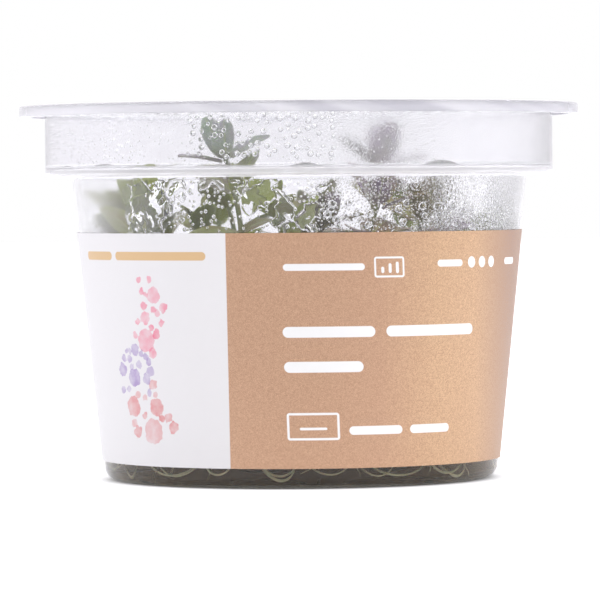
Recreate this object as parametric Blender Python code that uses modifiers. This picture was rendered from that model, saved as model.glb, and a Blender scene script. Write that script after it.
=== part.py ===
"""A tissue culture cup of bacopa: a clear stepped cup with a press-on lid and a printed band
label, a disc of set culture gel on its floor, and leafy shoots that stand in sockets of the gel.

Metres, +Z up. The origin is the centre of the foot. The front, where the label's two panels
meet, faces -Y. A bearing is an angle in degrees round the cup from the front towards +X.
"""

import math

import bmesh
import bpy
import numpy as np

MM = 0.001

# All round pieces share one number of facets, so that nested walls keep an even gap
FACETS = 40
MERGE_DISTANCE = 0.001 * MM
SHARP_ANGLE = math.radians(35.0)

# The cup, outside
FOOT_RADIUS = 33.4 * MM
FOOT_WIDTH = 2.2 * MM
FOOT_RECESS = 0.3 * MM
HEEL_RADIUS = 2.4 * MM
BODY_RADIUS_AT_GROUND = 35.5 * MM
BODY_DRAFT = 0.103
SHOULDER_UNDERSIDE = 54.9 * MM
SHOULDER_THICKNESS = 1.0 * MM
COLLAR_RADIUS = 46.0 * MM
COLLAR_CORNER = 0.7 * MM
FLANGE_RADIUS = 49.6 * MM
FLANGE_TOP = 66.8 * MM
FLANGE_THICKNESS = 0.6 * MM

# The cup, inside
WALL = 0.8 * MM
FLOOR_THICKNESS = 0.7 * MM
INNER_HEEL_RADIUS = 1.6 * MM

# The lid
LID_RADIUS = 50.6 * MM
LID_TOP = 67.6 * MM
LID_THICKNESS = 0.5 * MM
LID_CORNER = 0.3 * MM
SKIRT_HEIGHT = 2.0 * MM
SKIRT_THICKNESS = 0.65 * MM
LIP_REACH = 0.75 * MM
LIP_THICKNESS = 0.3 * MM
PANEL_RADIUS = 43.4 * MM
PANEL_DROP = 0.9 * MM
PANEL_STEP = 0.8 * MM

# The label, wrapped round part of the body
LABEL_BOTTOM = 3.6 * MM
LABEL_TOP = 44.8 * MM
LABEL_THICKNESS = 0.15 * MM
LABEL_STANDOFF = 0.12 * MM
LABEL_START_BEARING = -108.0
LABEL_SPAN_FACETS = 27

# The gel
GEL_TOP = 11.0 * MM
GEL_GAP = 0.3 * MM
GEL_CROWN = 0.4 * MM
SOCKET_GAP = 0.3 * MM
SOCKET_RISE = 2.0 * MM

# The shoots' stems
STEM_RADIUS = 0.65 * MM
STEM_TAPER = 0.35
STEM_POINTS = 8
STEM_RINGS = 1
STEM_DEPTH_IN_GEL = 5.0 * MM
STEM_SWAY = 1.4 * MM
FOOT_SHARE = 0.74

# The shoots' leaves
LEAF_LENGTH = 10.4 * MM
LEAF_WIDTH = 7.4 * MM
LEAF_THICKNESS = 0.45 * MM
LEAF_BASE_SHARE = 0.24
LEAF_FOLD = 0.16
LEAF_STEPS = 3
FUSED_LEAF_STEPS = 2
LEAF_GAP = 0.45 * MM
FUSED_LEAF_START = 0.25 * MM
LOWEST_PAIR = 24.0 * MM
TOP_PAIR_DROP = 1.2 * MM
INTERNODE_TOP = 4.4 * MM
INTERNODE_GROWTH = 1.4 * MM
TIP_LEAF_PITCH = 16.0
TIP_LEAF_START = 0.32 * MM

# From the top pair down: size, pitch from the stem in degrees, and curl over the blade's length.
# The top pair takes its pitch from its shoot instead.
PAIR_FORMS = ((0.82, 34.0, 14.0), (1.0, 58.0, 26.0), (1.0, 70.0, 36.0), (0.94, 78.0, 42.0))

# A leaf is tried as it would grow, then turned, tilted and at last made smaller, until it
# clears the wall and every leaf and stem placed before it
TRIED_SIZES = (1.0, 0.88, 0.76, 0.64, 0.52)
TRIED_TURNS = (0.0, 14.0, -14.0, 28.0, -28.0, 42.0, -42.0)
TRIED_TILTS = (0.0, -10.0, 10.0, -20.0, 20.0, -30.0)
STEEPEST_PITCH = 24.0
LEAF_CLEARANCE = 1.3 * MM
WALL_CLEARANCE = 0.9 * MM
GEL_CLEARANCE = 1.0 * MM
LID_CLEARANCE = 1.0 * MM

# One line a shoot: name, bearing and distance from the axis of its tip in mm, height of its
# tip in mm, the bearing its top pair faces, how many leaf pairs are pieces of their own, the
# size of its two upright tip leaves, and the pitch of its top pair in degrees. Its lower leaves
# and its tip leaves are one piece with the stem.
SHOOTS = (
    ("front_left", -21.5, 35.5, 58.8, 118.0, 2, 0.76, 76.0),
    ("middle", 78.0, 15.0, 57.4, 108.0, 2, 0.82, 56.0),
    ("left", -80.0, 32.5, 49.0, 60.0, 2, 0.50, 34.0),
    ("left_front", -55.0, 34.5, 49.5, -32.0, 2, 0.66, 34.0),
    ("front", -8.0, 30.5, 49.0, 20.0, 2, 0.55, 44.0),
    ("front_right", 27.0, 31.0, 50.5, 75.0, 2, 0.60, 44.0),
    ("right_front", 47.0, 29.5, 47.5, 58.0, 2, 0.84, 70.0),
    ("right", 100.0, 30.5, 43.0, 30.0, 1, 0.42, 34.0),
    ("heart", -60.0, 15.0, 50.5, -25.0, 1, 0.70, 48.0),
    ("left_back", -112.0, 29.5, 50.5, 80.0, 1, 0.55, 40.0),
    ("back_left", -148.0, 28.5, 47.5, 10.0, 1, 0.50, 40.0),
    ("back", 176.0, 27.5, 48.0, 60.0, 1, 0.50, 40.0),
    ("back_right", 138.0, 29.5, 46.5, -25.0, 1, 0.50, 40.0),
    ("inner_front", 10.0, 23.5, 46.5, 70.0, 0, 0.64, 56.0),
    ("inner_left", -44.0, 25.0, 46.5, 15.0, 0, 0.55, 50.0),
)

CLEAR_PLASTIC = ("clear_plastic", (0.90, 0.90, 0.94), 0.08, 1.0)
LID_PLASTIC = ("lid_plastic", (0.92, 0.92, 0.95), 0.06, 1.0)
LABEL_PAPER = ("label_paper", (0.66, 0.45, 0.30), 0.45, 0.0)
GEL = ("culture_gel", (0.36, 0.33, 0.20), 0.10, 0.5)
STEM = ("stem_green", (0.30, 0.34, 0.14), 0.45, 0.0)
LEAF = ("leaf_green", (0.16, 0.22, 0.07), 0.40, 0.0)


def body_radius(height, inset=0.0):
    """The radius of the body's outer wall at a height, less an inset."""
    return BODY_RADIUS_AT_GROUND + BODY_DRAFT * height - inset


def arc(centre_x, centre_z, radius, start, end, steps):
    """Points of an arc in the XZ plane, both ends included, with angles in degrees from +X."""
    angles = np.radians(np.linspace(start, end, steps + 1))
    return [(centre_x + radius * math.cos(a), centre_z + radius * math.sin(a)) for a in angles]


def unit(vector):
    """The vector at length 1."""
    return vector / np.linalg.norm(vector)


def make_material(name, colour, roughness, transmission):
    """A Principled material, made once and shared by name."""
    material = bpy.data.materials.get(name)
    if material is None:
        material = bpy.data.materials.new(name)
        material.use_nodes = True
        shader = material.node_tree.nodes["Principled BSDF"]
        shader.inputs["Base Color"].default_value = (*colour, 1.0)
        shader.inputs["Roughness"].default_value = roughness
        shader.inputs["Metallic"].default_value = 0.0
        shader.inputs["Transmission Weight"].default_value = transmission
    return material


def add_object(name, mesh, collection, material=None):
    """A new object that carries the mesh, in a collection, with its material."""
    thing = bpy.data.objects.new(name, mesh)
    collection.objects.link(thing)
    if material is not None:
        mesh.materials.append(make_material(*material))
        mesh.shade_smooth()
        mesh.set_sharp_from_angle(angle=SHARP_ANGLE)
    return thing


def profile_mesh(name, points):
    """A mesh with one open polyline in the XZ plane, for a Screw modifier to turn."""
    mesh = bpy.data.meshes.new(name)
    vertices = [(x, 0.0, z) for x, z in points]
    mesh.from_pydata(vertices, [(i, i + 1) for i in range(len(points) - 1)], [])
    return mesh


def add_screw(thing, angle, steps):
    """Turn the object's profile about +Z through an angle in radians."""
    screw = thing.modifiers.new("turn", "SCREW")
    screw.axis = "Z"
    screw.angle = angle
    screw.steps = steps
    screw.render_steps = steps
    screw.use_merge_vertices = True
    screw.merge_threshold = MERGE_DISTANCE
    screw.use_smooth_shade = True
    return screw


def turned(name, points, collection, material):
    """A full turned solid. The profile starts and ends on the axis, and runs down its outside."""
    thing = bpy.data.objects.new(name, profile_mesh(name, points))
    collection.objects.link(thing)
    thing.data.materials.append(make_material(*material))
    add_screw(thing, math.tau, FACETS)
    return thing


def cup_profile():
    """The cup's section: up its inside from the floor's centre, over the flange and down."""
    floor_top = FOOT_RECESS + FLOOR_THICKNESS
    inner_heel_z = floor_top + INNER_HEEL_RADIUS
    inner_heel_x = body_radius(inner_heel_z, WALL) - INNER_HEEL_RADIUS
    ledge_top = SHOULDER_UNDERSIDE + SHOULDER_THICKNESS
    inner_collar = COLLAR_RADIUS - WALL
    flange_underside = FLANGE_TOP - FLANGE_THICKNESS
    heel_x = FOOT_RADIUS
    points = [(0.0, floor_top)]
    points += arc(inner_heel_x, inner_heel_z, INNER_HEEL_RADIUS, -90.0, -6.0, 2)
    points += [(body_radius(ledge_top, WALL), ledge_top)]
    points += arc(inner_collar - COLLAR_CORNER, ledge_top + COLLAR_CORNER, COLLAR_CORNER, -90.0, 0.0, 1)
    points += [(inner_collar, FLANGE_TOP), (FLANGE_RADIUS, FLANGE_TOP), (FLANGE_RADIUS, flange_underside)]
    points += [(COLLAR_RADIUS, flange_underside)]
    points += arc(COLLAR_RADIUS - COLLAR_CORNER, SHOULDER_UNDERSIDE + COLLAR_CORNER, COLLAR_CORNER, 0.0, -90.0, 1)
    points += [(body_radius(SHOULDER_UNDERSIDE), SHOULDER_UNDERSIDE)]
    points += arc(heel_x, HEEL_RADIUS, HEEL_RADIUS, -6.0, -90.0, 3)
    points += [(FOOT_RADIUS - FOOT_WIDTH, 0.0), (FOOT_RADIUS - FOOT_WIDTH - FOOT_RECESS, FOOT_RECESS)]
    points += [(0.0, FOOT_RECESS)]
    return points


def lid_profile():
    """The lid's section: out along its top, down the skirt, round the inner lip and back in."""
    panel_top = LID_TOP - PANEL_DROP
    underside = LID_TOP - LID_THICKNESS
    skirt_foot = LID_TOP - SKIRT_HEIGHT
    skirt_inside = LID_RADIUS - SKIRT_THICKNESS
    points = [(0.0, panel_top), (PANEL_RADIUS, panel_top), (PANEL_RADIUS + PANEL_STEP, LID_TOP)]
    points += arc(LID_RADIUS - LID_CORNER, LID_TOP - LID_CORNER, LID_CORNER, 90.0, 0.0, 2)
    points += [(LID_RADIUS, skirt_foot), (skirt_inside - LIP_REACH, skirt_foot)]
    points += [(skirt_inside - LIP_REACH, skirt_foot + LIP_THICKNESS), (skirt_inside, skirt_foot + LIP_THICKNESS)]
    points += [(skirt_inside, underside), (PANEL_RADIUS + PANEL_STEP, underside)]
    points += [(PANEL_RADIUS, panel_top - LID_THICKNESS), (0.0, panel_top - LID_THICKNESS)]
    return points


def gel_profile():
    """The gel's section: out over its crowned top, down its side and back along the floor."""
    floor = FOOT_RECESS + FLOOR_THICKNESS + GEL_GAP
    heel_z = FOOT_RECESS + FLOOR_THICKNESS + INNER_HEEL_RADIUS
    heel_radius = INNER_HEEL_RADIUS - GEL_GAP
    heel_x = body_radius(heel_z, WALL) - INNER_HEEL_RADIUS
    edge = body_radius(GEL_TOP, WALL + GEL_GAP)
    points = [(0.0, GEL_TOP + GEL_CROWN), (0.6 * edge, GEL_TOP + 0.6 * GEL_CROWN), (edge, GEL_TOP)]
    points += arc(heel_x, heel_z, heel_radius, -6.0, -90.0, 2)
    points += [(0.0, floor)]
    return points


def make_label(collection):
    """The label: a line turned part of the way round the body, thickened outwards."""
    offset = LABEL_STANDOFF + 0.5 * LABEL_THICKNESS
    line = [(body_radius(LABEL_TOP) + offset, LABEL_TOP), (body_radius(LABEL_BOTTOM) + offset, LABEL_BOTTOM)]
    label = bpy.data.objects.new("label", profile_mesh("label", line))
    collection.objects.link(label)
    label.data.materials.append(make_material(*LABEL_PAPER))
    label.rotation_euler.z = math.radians(LABEL_START_BEARING - 90.0)
    add_screw(label, math.tau * LABEL_SPAN_FACETS / FACETS, LABEL_SPAN_FACETS)
    sheet = label.modifiers.new("thickness", "SOLIDIFY")
    sheet.thickness = LABEL_THICKNESS
    sheet.offset = 0.0
    return label


class Shoot:
    """One shoot: where its stem runs and how its leaves sit on it.

    A place on the stem is a share t of its rise, 0 at its foot in the gel and 1 at its tip.
    """

    def __init__(self, index, name, bearing, reach, height, facing, own_pairs, crown, opening):
        self.name = name
        self.facing = math.radians(facing)
        self.own_pairs = own_pairs
        self.crown = crown
        self.opening = opening
        angle = math.radians(bearing)
        outward = np.array((math.sin(angle), -math.cos(angle), 0.0))
        self.foot = outward * reach * MM * FOOT_SHARE
        self.foot[2] = GEL_TOP - STEM_DEPTH_IN_GEL
        self.tip = outward * reach * MM
        self.tip[2] = height * MM
        side = 1.0 if index % 2 else -1.0
        self.sway = np.array((-outward[1], outward[0], 0.0)) * STEM_SWAY * side

    def point(self, t):
        """The stem's axis at t: it rises evenly, leans outwards and sways once to each side."""
        share = np.array((t * abs(t), t * abs(t), t))
        return self.foot + (self.tip - self.foot) * share + self.sway * math.sin(math.tau * t)

    def direction(self, t):
        """The stem's direction at t."""
        return unit(self.point(t + 0.01) - self.point(t - 0.01))

    def share_at(self, height):
        """The place t on the stem at a height."""
        return (height - self.foot[2]) / (self.tip[2] - self.foot[2])

    def axis(self, start, end, count):
        """Evenly spaced points of the stem's axis between two places."""
        return np.array([self.point(t) for t in np.linspace(start, end, count)])

    def pair_places(self):
        """The places of the leaf pairs from the top one down, wider apart further down."""
        places = []
        height = self.tip[2] - TOP_PAIR_DROP
        while height > LOWEST_PAIR:
            places.append(self.share_at(height))
            height -= INTERNODE_TOP + INTERNODE_GROWTH * len(places)
        return places

    def leaf_frame(self, t, turn, pitch, start):
        """A leaf's base and axes: along the blade, across it, and out of its upper face."""
        up = self.direction(t)
        front = np.array((0.0, -1.0, 0.0))
        front = unit(front - up * front.dot(up))
        right = np.cross(up, front)
        outward = front * math.cos(turn) + right * math.sin(turn)
        along = up * math.cos(pitch) + outward * math.sin(pitch)
        normal = up * math.sin(pitch) - outward * math.cos(pitch)
        return self.point(t) + outward * start, np.stack((along, np.cross(normal, along), normal))


class Leaf:
    """One leaf blade: an oval sheet that curls down over its length and folds up at its sides."""

    def __init__(self, base, axes, size, curl, steps=LEAF_STEPS):
        self.steps = steps
        self.base = base
        self.axes = axes
        self.size = size
        self.curl = math.radians(curl)

    def points(self, u, v):
        """Points of the blade for u from 0 at its base to 1 at its tip and v from -1 to 1 across."""
        length = LEAF_LENGTH * self.size
        oval = np.sin(math.pi * u**1.15) ** 0.52
        half_width = 0.5 * LEAF_WIDTH * self.size * (oval * (1.0 - LEAF_BASE_SHARE) + LEAF_BASE_SHARE * (1.0 - u))
        along = length * np.sin(self.curl * u) / self.curl
        across = half_width * v
        above = LEAF_FOLD * half_width * v * v - length * (1.0 - np.cos(self.curl * u)) / self.curl
        return self.base + np.stack((along, across, above), axis=-1) @ self.axes

    def samples(self):
        """Points spread over the blade, less than the leaf clearance apart."""
        u, v = np.meshgrid(np.linspace(0.08, 0.98, 8), np.linspace(-0.9, 0.9, 6), indexing="ij")
        return self.points(u.ravel(), v.ravel())

    def add_to(self, bm):
        """Add the blade's coarse sheet to a bmesh."""
        grid = bmesh.ops.create_grid(bm, x_segments=self.steps, y_segments=2, size=1.0)["verts"]
        u = np.clip([(vertex.co.x + 1.0) / 2.0 for vertex in grid], 0.0, 1.0)
        v = np.array([vertex.co.y for vertex in grid])
        for vertex, point in zip(grid, self.points(u, v)):
            vertex.co = point
        bmesh.ops.remove_doubles(bm, verts=grid, dist=MERGE_DISTANCE)


class Thicket:
    """All shoots together, and the search for room for each leaf."""

    def __init__(self):
        self.shoots = [Shoot(index, *line) for index, line in enumerate(SHOOTS)]
        self.stem_samples = {s.name: s.axis(0.0, 1.0, 60) for s in self.shoots}
        self.taken = np.zeros((0, 3))

    def room_for(self, samples, shoot):
        """Whether a leaf's samples clear the cup, the gel, the lid, the other stems and leaves."""
        radius = np.hypot(samples[:, 0], samples[:, 1])
        height = samples[:, 2]
        limit = body_radius(height, WALL + WALL_CLEARANCE)
        above = height > SHOULDER_UNDERSIDE + SHOULDER_THICKNESS + WALL_CLEARANCE
        limit = np.where(above, COLLAR_RADIUS - WALL - WALL_CLEARANCE, limit)
        if (radius > limit).any() or height.min() < GEL_TOP + GEL_CROWN + GEL_CLEARANCE:
            return False
        if height.max() > LID_TOP - PANEL_DROP - LID_THICKNESS - LID_CLEARANCE:
            return False
        others = [points for name, points in self.stem_samples.items() if name != shoot.name]
        blocked = np.concatenate(others + [self.taken])
        distance = np.linalg.norm(samples[:, None, :] - blocked[None, :, :], axis=2)
        return distance.min() > LEAF_CLEARANCE

    def place(self, shoot, t, turn, form, start):
        """The first tried form of one leaf that has room, or None."""
        size, pitch, curl = form
        for shrink in TRIED_SIZES:
            for extra_turn in TRIED_TURNS:
                for tilt in TRIED_TILTS:
                    steep = math.radians(max(pitch + tilt, STEEPEST_PITCH))
                    frame = shoot.leaf_frame(t, turn + math.radians(extra_turn), steep, start)
                    leaf = Leaf(*frame, size * shrink, curl)
                    samples = leaf.samples()
                    if self.room_for(samples, shoot):
                        self.taken = np.concatenate((self.taken, samples))
                        return leaf
        return None

    def grow(self):
        """Every leaf, as (shoot, pair number from the top, side letter, leaf), top pairs first."""
        leaves = []
        deepest = max(len(shoot.pair_places()) for shoot in self.shoots)
        for pair in range(deepest):
            size, pitch, curl = PAIR_FORMS[min(pair, len(PAIR_FORMS) - 1)]
            for shoot in self.shoots:
                places = shoot.pair_places()
                if pair >= len(places):
                    continue
                form = (size, pitch if pair else shoot.opening, curl)
                start = STEM_RADIUS + LEAF_GAP if pair < shoot.own_pairs else FUSED_LEAF_START
                for side, letter in enumerate("ab"):
                    turn = shoot.facing + math.radians(90.0) * pair + math.pi * side
                    leaf = self.place(shoot, places[pair], turn, form, start)
                    if leaf is not None:
                        leaves.append((shoot, pair + 1, letter, leaf))
        return leaves


def tube_mesh(name, points, radii, collection):
    """A closed mesh of a tube along points, with its end caps welded on."""
    curve = bpy.data.curves.new(name, "CURVE")
    curve.dimensions = "3D"
    curve.bevel_depth = 1.0
    curve.bevel_resolution = STEM_RINGS
    curve.use_fill_caps = True
    spline = curve.splines.new("POLY")
    spline.points.add(len(points) - 1)
    for knot, point, radius in zip(spline.points, points, radii):
        knot.co = (*point, 1.0)
        knot.radius = radius
    guide = bpy.data.objects.new(name, curve)
    collection.objects.link(guide)
    evaluated = guide.evaluated_get(bpy.context.evaluated_depsgraph_get())
    mesh = bpy.data.meshes.new_from_object(evaluated)
    bm = bmesh.new()
    bm.from_mesh(mesh)
    bmesh.ops.remove_doubles(bm, verts=bm.verts, dist=MERGE_DISTANCE)
    bm.to_mesh(mesh)
    bm.free()
    bpy.data.objects.remove(guide)
    return mesh


def leaf_object(name, leaves, collection, material=None):
    """One object with the blades of some leaves, thickened to solids."""
    bm = bmesh.new()
    for leaf in leaves:
        leaf.add_to(bm)
    mesh = bpy.data.meshes.new(name)
    bm.to_mesh(mesh)
    bm.free()
    thing = add_object(name, mesh, collection, material)
    blade = thing.modifiers.new("thickness", "SOLIDIFY")
    blade.thickness = LEAF_THICKNESS
    blade.offset = 0.0
    return thing


def add_boolean(thing, cutter, operation):
    """Cut or join the object with a cutter, which is only a guide."""
    cutter.hide_render = True
    cutter.display_type = "WIRE"
    boolean = thing.modifiers.new(operation.lower(), "BOOLEAN")
    boolean.operation = operation
    boolean.object = cutter


def tip_leaves(shoot):
    """The two upright leaves at a shoot's tip."""
    leaves = []
    for side in range(2):
        turn = shoot.facing + math.radians(90.0) + math.pi * side
        frame = shoot.leaf_frame(0.985, turn, math.radians(TIP_LEAF_PITCH), TIP_LEAF_START)
        leaves.append(Leaf(*frame, shoot.crown, PAIR_FORMS[0][2], FUSED_LEAF_STEPS))
    return leaves


def make_stem(shoot, fused, parts, cutters):
    """A stem with its tip leaves and lower leaves, as one piece."""
    name = shoot.name + "_stem"
    radii = np.linspace(STEM_RADIUS, STEM_RADIUS * (1.0 - STEM_TAPER), STEM_POINTS)
    mesh = tube_mesh(name, shoot.axis(0.0, 1.0, STEM_POINTS), radii, cutters)
    stem = add_object(name, mesh, parts, STEM)
    foliage = leaf_object(shoot.name + "_foliage", fused + tip_leaves(shoot), cutters)
    add_boolean(stem, foliage, "UNION")
    return stem


def make_gel(shoots, parts, cutters):
    """The gel, with a socket round each stem."""
    gel = turned("culture_gel", gel_profile(), parts, GEL)
    for shoot in shoots:
        end = shoot.share_at(GEL_TOP + SOCKET_RISE)
        points = shoot.axis(-0.01, end, 4)
        name = shoot.name + "_socket"
        mesh = tube_mesh(name, points, [STEM_RADIUS + SOCKET_GAP] * len(points), cutters)
        add_boolean(gel, add_object(name, mesh, cutters), "DIFFERENCE")
    return gel


def new_collection(name):
    """A new collection in the scene."""
    collection = bpy.data.collections.new(name)
    bpy.context.scene.collection.children.link(collection)
    return collection


def main():
    """Build the cup, its lid and label, the gel and the shoots."""
    for thing in list(bpy.data.objects):
        bpy.data.objects.remove(thing)
    parts = new_collection("bacopa_culture_cup")
    cutters = new_collection("cutters")
    turned("cup", cup_profile(), parts, CLEAR_PLASTIC)
    turned("lid", lid_profile(), parts, LID_PLASTIC)
    make_label(parts)
    thicket = Thicket()
    grown = thicket.grow()
    make_gel(thicket.shoots, parts, cutters)
    for shoot in thicket.shoots:
        fused = []
        for owner, pair, letter, leaf in grown:
            if owner is not shoot:
                continue
            if pair <= shoot.own_pairs:
                leaf_object(f"{shoot.name}_leaf_{pair}{letter}", [leaf], parts, LEAF)
            else:
                leaf.steps = FUSED_LEAF_STEPS
                fused.append(leaf)
        make_stem(shoot, fused, parts, cutters)


main()
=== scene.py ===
"""Looks of a tissue culture cup of bacopa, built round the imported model.

Every piece is a surface worked out with numpy from the same driving sizes as the solids, in
metres, +Z up, with the foot's centre at the origin and the label's front towards -Y. A bearing is
an angle round the cup from the front towards +X.
"""

from __future__ import annotations

import itertools
import logging
import math
from dataclasses import dataclass, field
from enum import Enum

import bpy
import numpy as np
from mathutils import Matrix, Vector

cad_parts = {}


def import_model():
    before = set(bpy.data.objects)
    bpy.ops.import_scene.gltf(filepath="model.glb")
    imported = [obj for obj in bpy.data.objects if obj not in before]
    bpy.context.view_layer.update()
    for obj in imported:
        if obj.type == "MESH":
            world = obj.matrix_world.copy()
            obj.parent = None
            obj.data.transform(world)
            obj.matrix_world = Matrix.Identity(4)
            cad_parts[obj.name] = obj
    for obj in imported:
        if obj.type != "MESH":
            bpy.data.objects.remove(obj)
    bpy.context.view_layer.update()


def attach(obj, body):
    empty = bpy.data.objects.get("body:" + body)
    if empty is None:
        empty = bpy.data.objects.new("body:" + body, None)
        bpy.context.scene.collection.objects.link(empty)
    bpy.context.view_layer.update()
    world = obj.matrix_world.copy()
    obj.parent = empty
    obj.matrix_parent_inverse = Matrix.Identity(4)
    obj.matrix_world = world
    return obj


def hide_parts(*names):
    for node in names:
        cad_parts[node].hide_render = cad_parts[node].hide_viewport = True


LOG = logging.getLogger("culture_cup")
MM = 0.001
WALL_MM = 42.0  # places on the body's wall are laid out flat at this radius
PLASTIC_IOR, WATER_IOR, GEL_IOR = 1.49, 1.333, 1.34
WETTED_IOR = 1.112
ROUNDS_SEED, LEAVES_SEED, DEW_SEED = 8, 11, 100
Array = np.ndarray
Random = np.random.Generator
Material = bpy.types.Material
Thing = bpy.types.Object
Colour = tuple[float, float, float]
Outline = list[tuple[float, float]]
WHITE: Colour = (1.0, 1.0, 1.0)


def unit(vectors: Array) -> Array:
    """The vectors, each at length 1."""
    return vectors / np.linalg.norm(vectors, axis=-1, keepdims=True)


def whole_turn(steps: int) -> Array:
    """The evenly spaced angles of one turn."""
    return np.linspace(0.0, math.tau, steps, endpoint=False)


def pattern(u: Array, v: Array) -> Array:
    """Two pattern coordinates for each point of a grid."""
    return np.stack(np.broadcast_arrays(u, v), axis=-1)


def on_cup(bearing: Array, radius: Array, height: Array) -> Array:
    """Points at bearings in radians, distances from the cup's axis and heights."""
    return np.stack(np.broadcast_arrays(radius * np.sin(bearing), -radius * np.cos(bearing), height), axis=-1)


def rounding(x: float, z: float, radius: float, start: float, end: float, steps: int) -> Outline:
    """A corner of a section, rounded by an arc of a circle.

    Args:
        x, z: the corner. The arc's centre lies a radius from it both ways, away from the arc.
        radius: the arc's radius.
        start, end: its first and last angle, in degrees from the outward direction.
        steps: how many chords it has.

    Returns:
        The arc's points.
    """
    middle = math.radians(0.5 * (start + end))
    x, z = x - math.copysign(radius, math.cos(middle)), z - math.copysign(radius, math.sin(middle))
    angles = np.radians(np.linspace(start, end, steps + 1))
    return [(x + radius * math.cos(a), z + radius * math.sin(a)) for a in angles]


def with_supports(points: Outline, reach: float) -> Array:
    """A section with extra points near the ends of its long runs, which keeps them shaded flat.

    Args:
        points: the section's corners.
        reach: how far from a run's ends its extra points lie. Runs under four times that get none.

    Returns:
        The section's points, one row each.
    """
    dense = [np.array(points[0])]
    for first, last in zip(points[:-1], points[1:]):
        first, last = np.array(first), np.array(last)
        length = float(np.linalg.norm(last - first))
        if length > 4.0 * reach:
            step = (last - first) * (reach / length)
            dense += [first + step, last - step]
        dense.append(last)
    return np.array(dense)


def row_middles(section: Array) -> Array:
    """The middle (r, z) of each row of faces of a turned section."""
    return 0.5 * (section[1:-2] + section[2:-1])


def tube(centre: Array, along: Array, guide: tuple, radius: Array, sides: int) -> Array:
    """Rings of a tube: each is a point of its path plus a circle across the path.

    Args:
        centre, along: the path's points and its directions there.
        guide: a direction that the path never takes.
        radius: the circle's radius at each point.
        sides: how many points a ring has.

    Returns:
        The rings' points, as (ring, place on the ring, 3).
    """
    side = unit(np.cross(along, np.array(guide)))
    other = np.cross(along, side)
    angle = whole_turn(sides)[None, :, None]
    ring = side[:, None] * np.cos(angle) + other[:, None] * np.sin(angle)
    return centre[:, None] + radius[:, None, None] * ring


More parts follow.
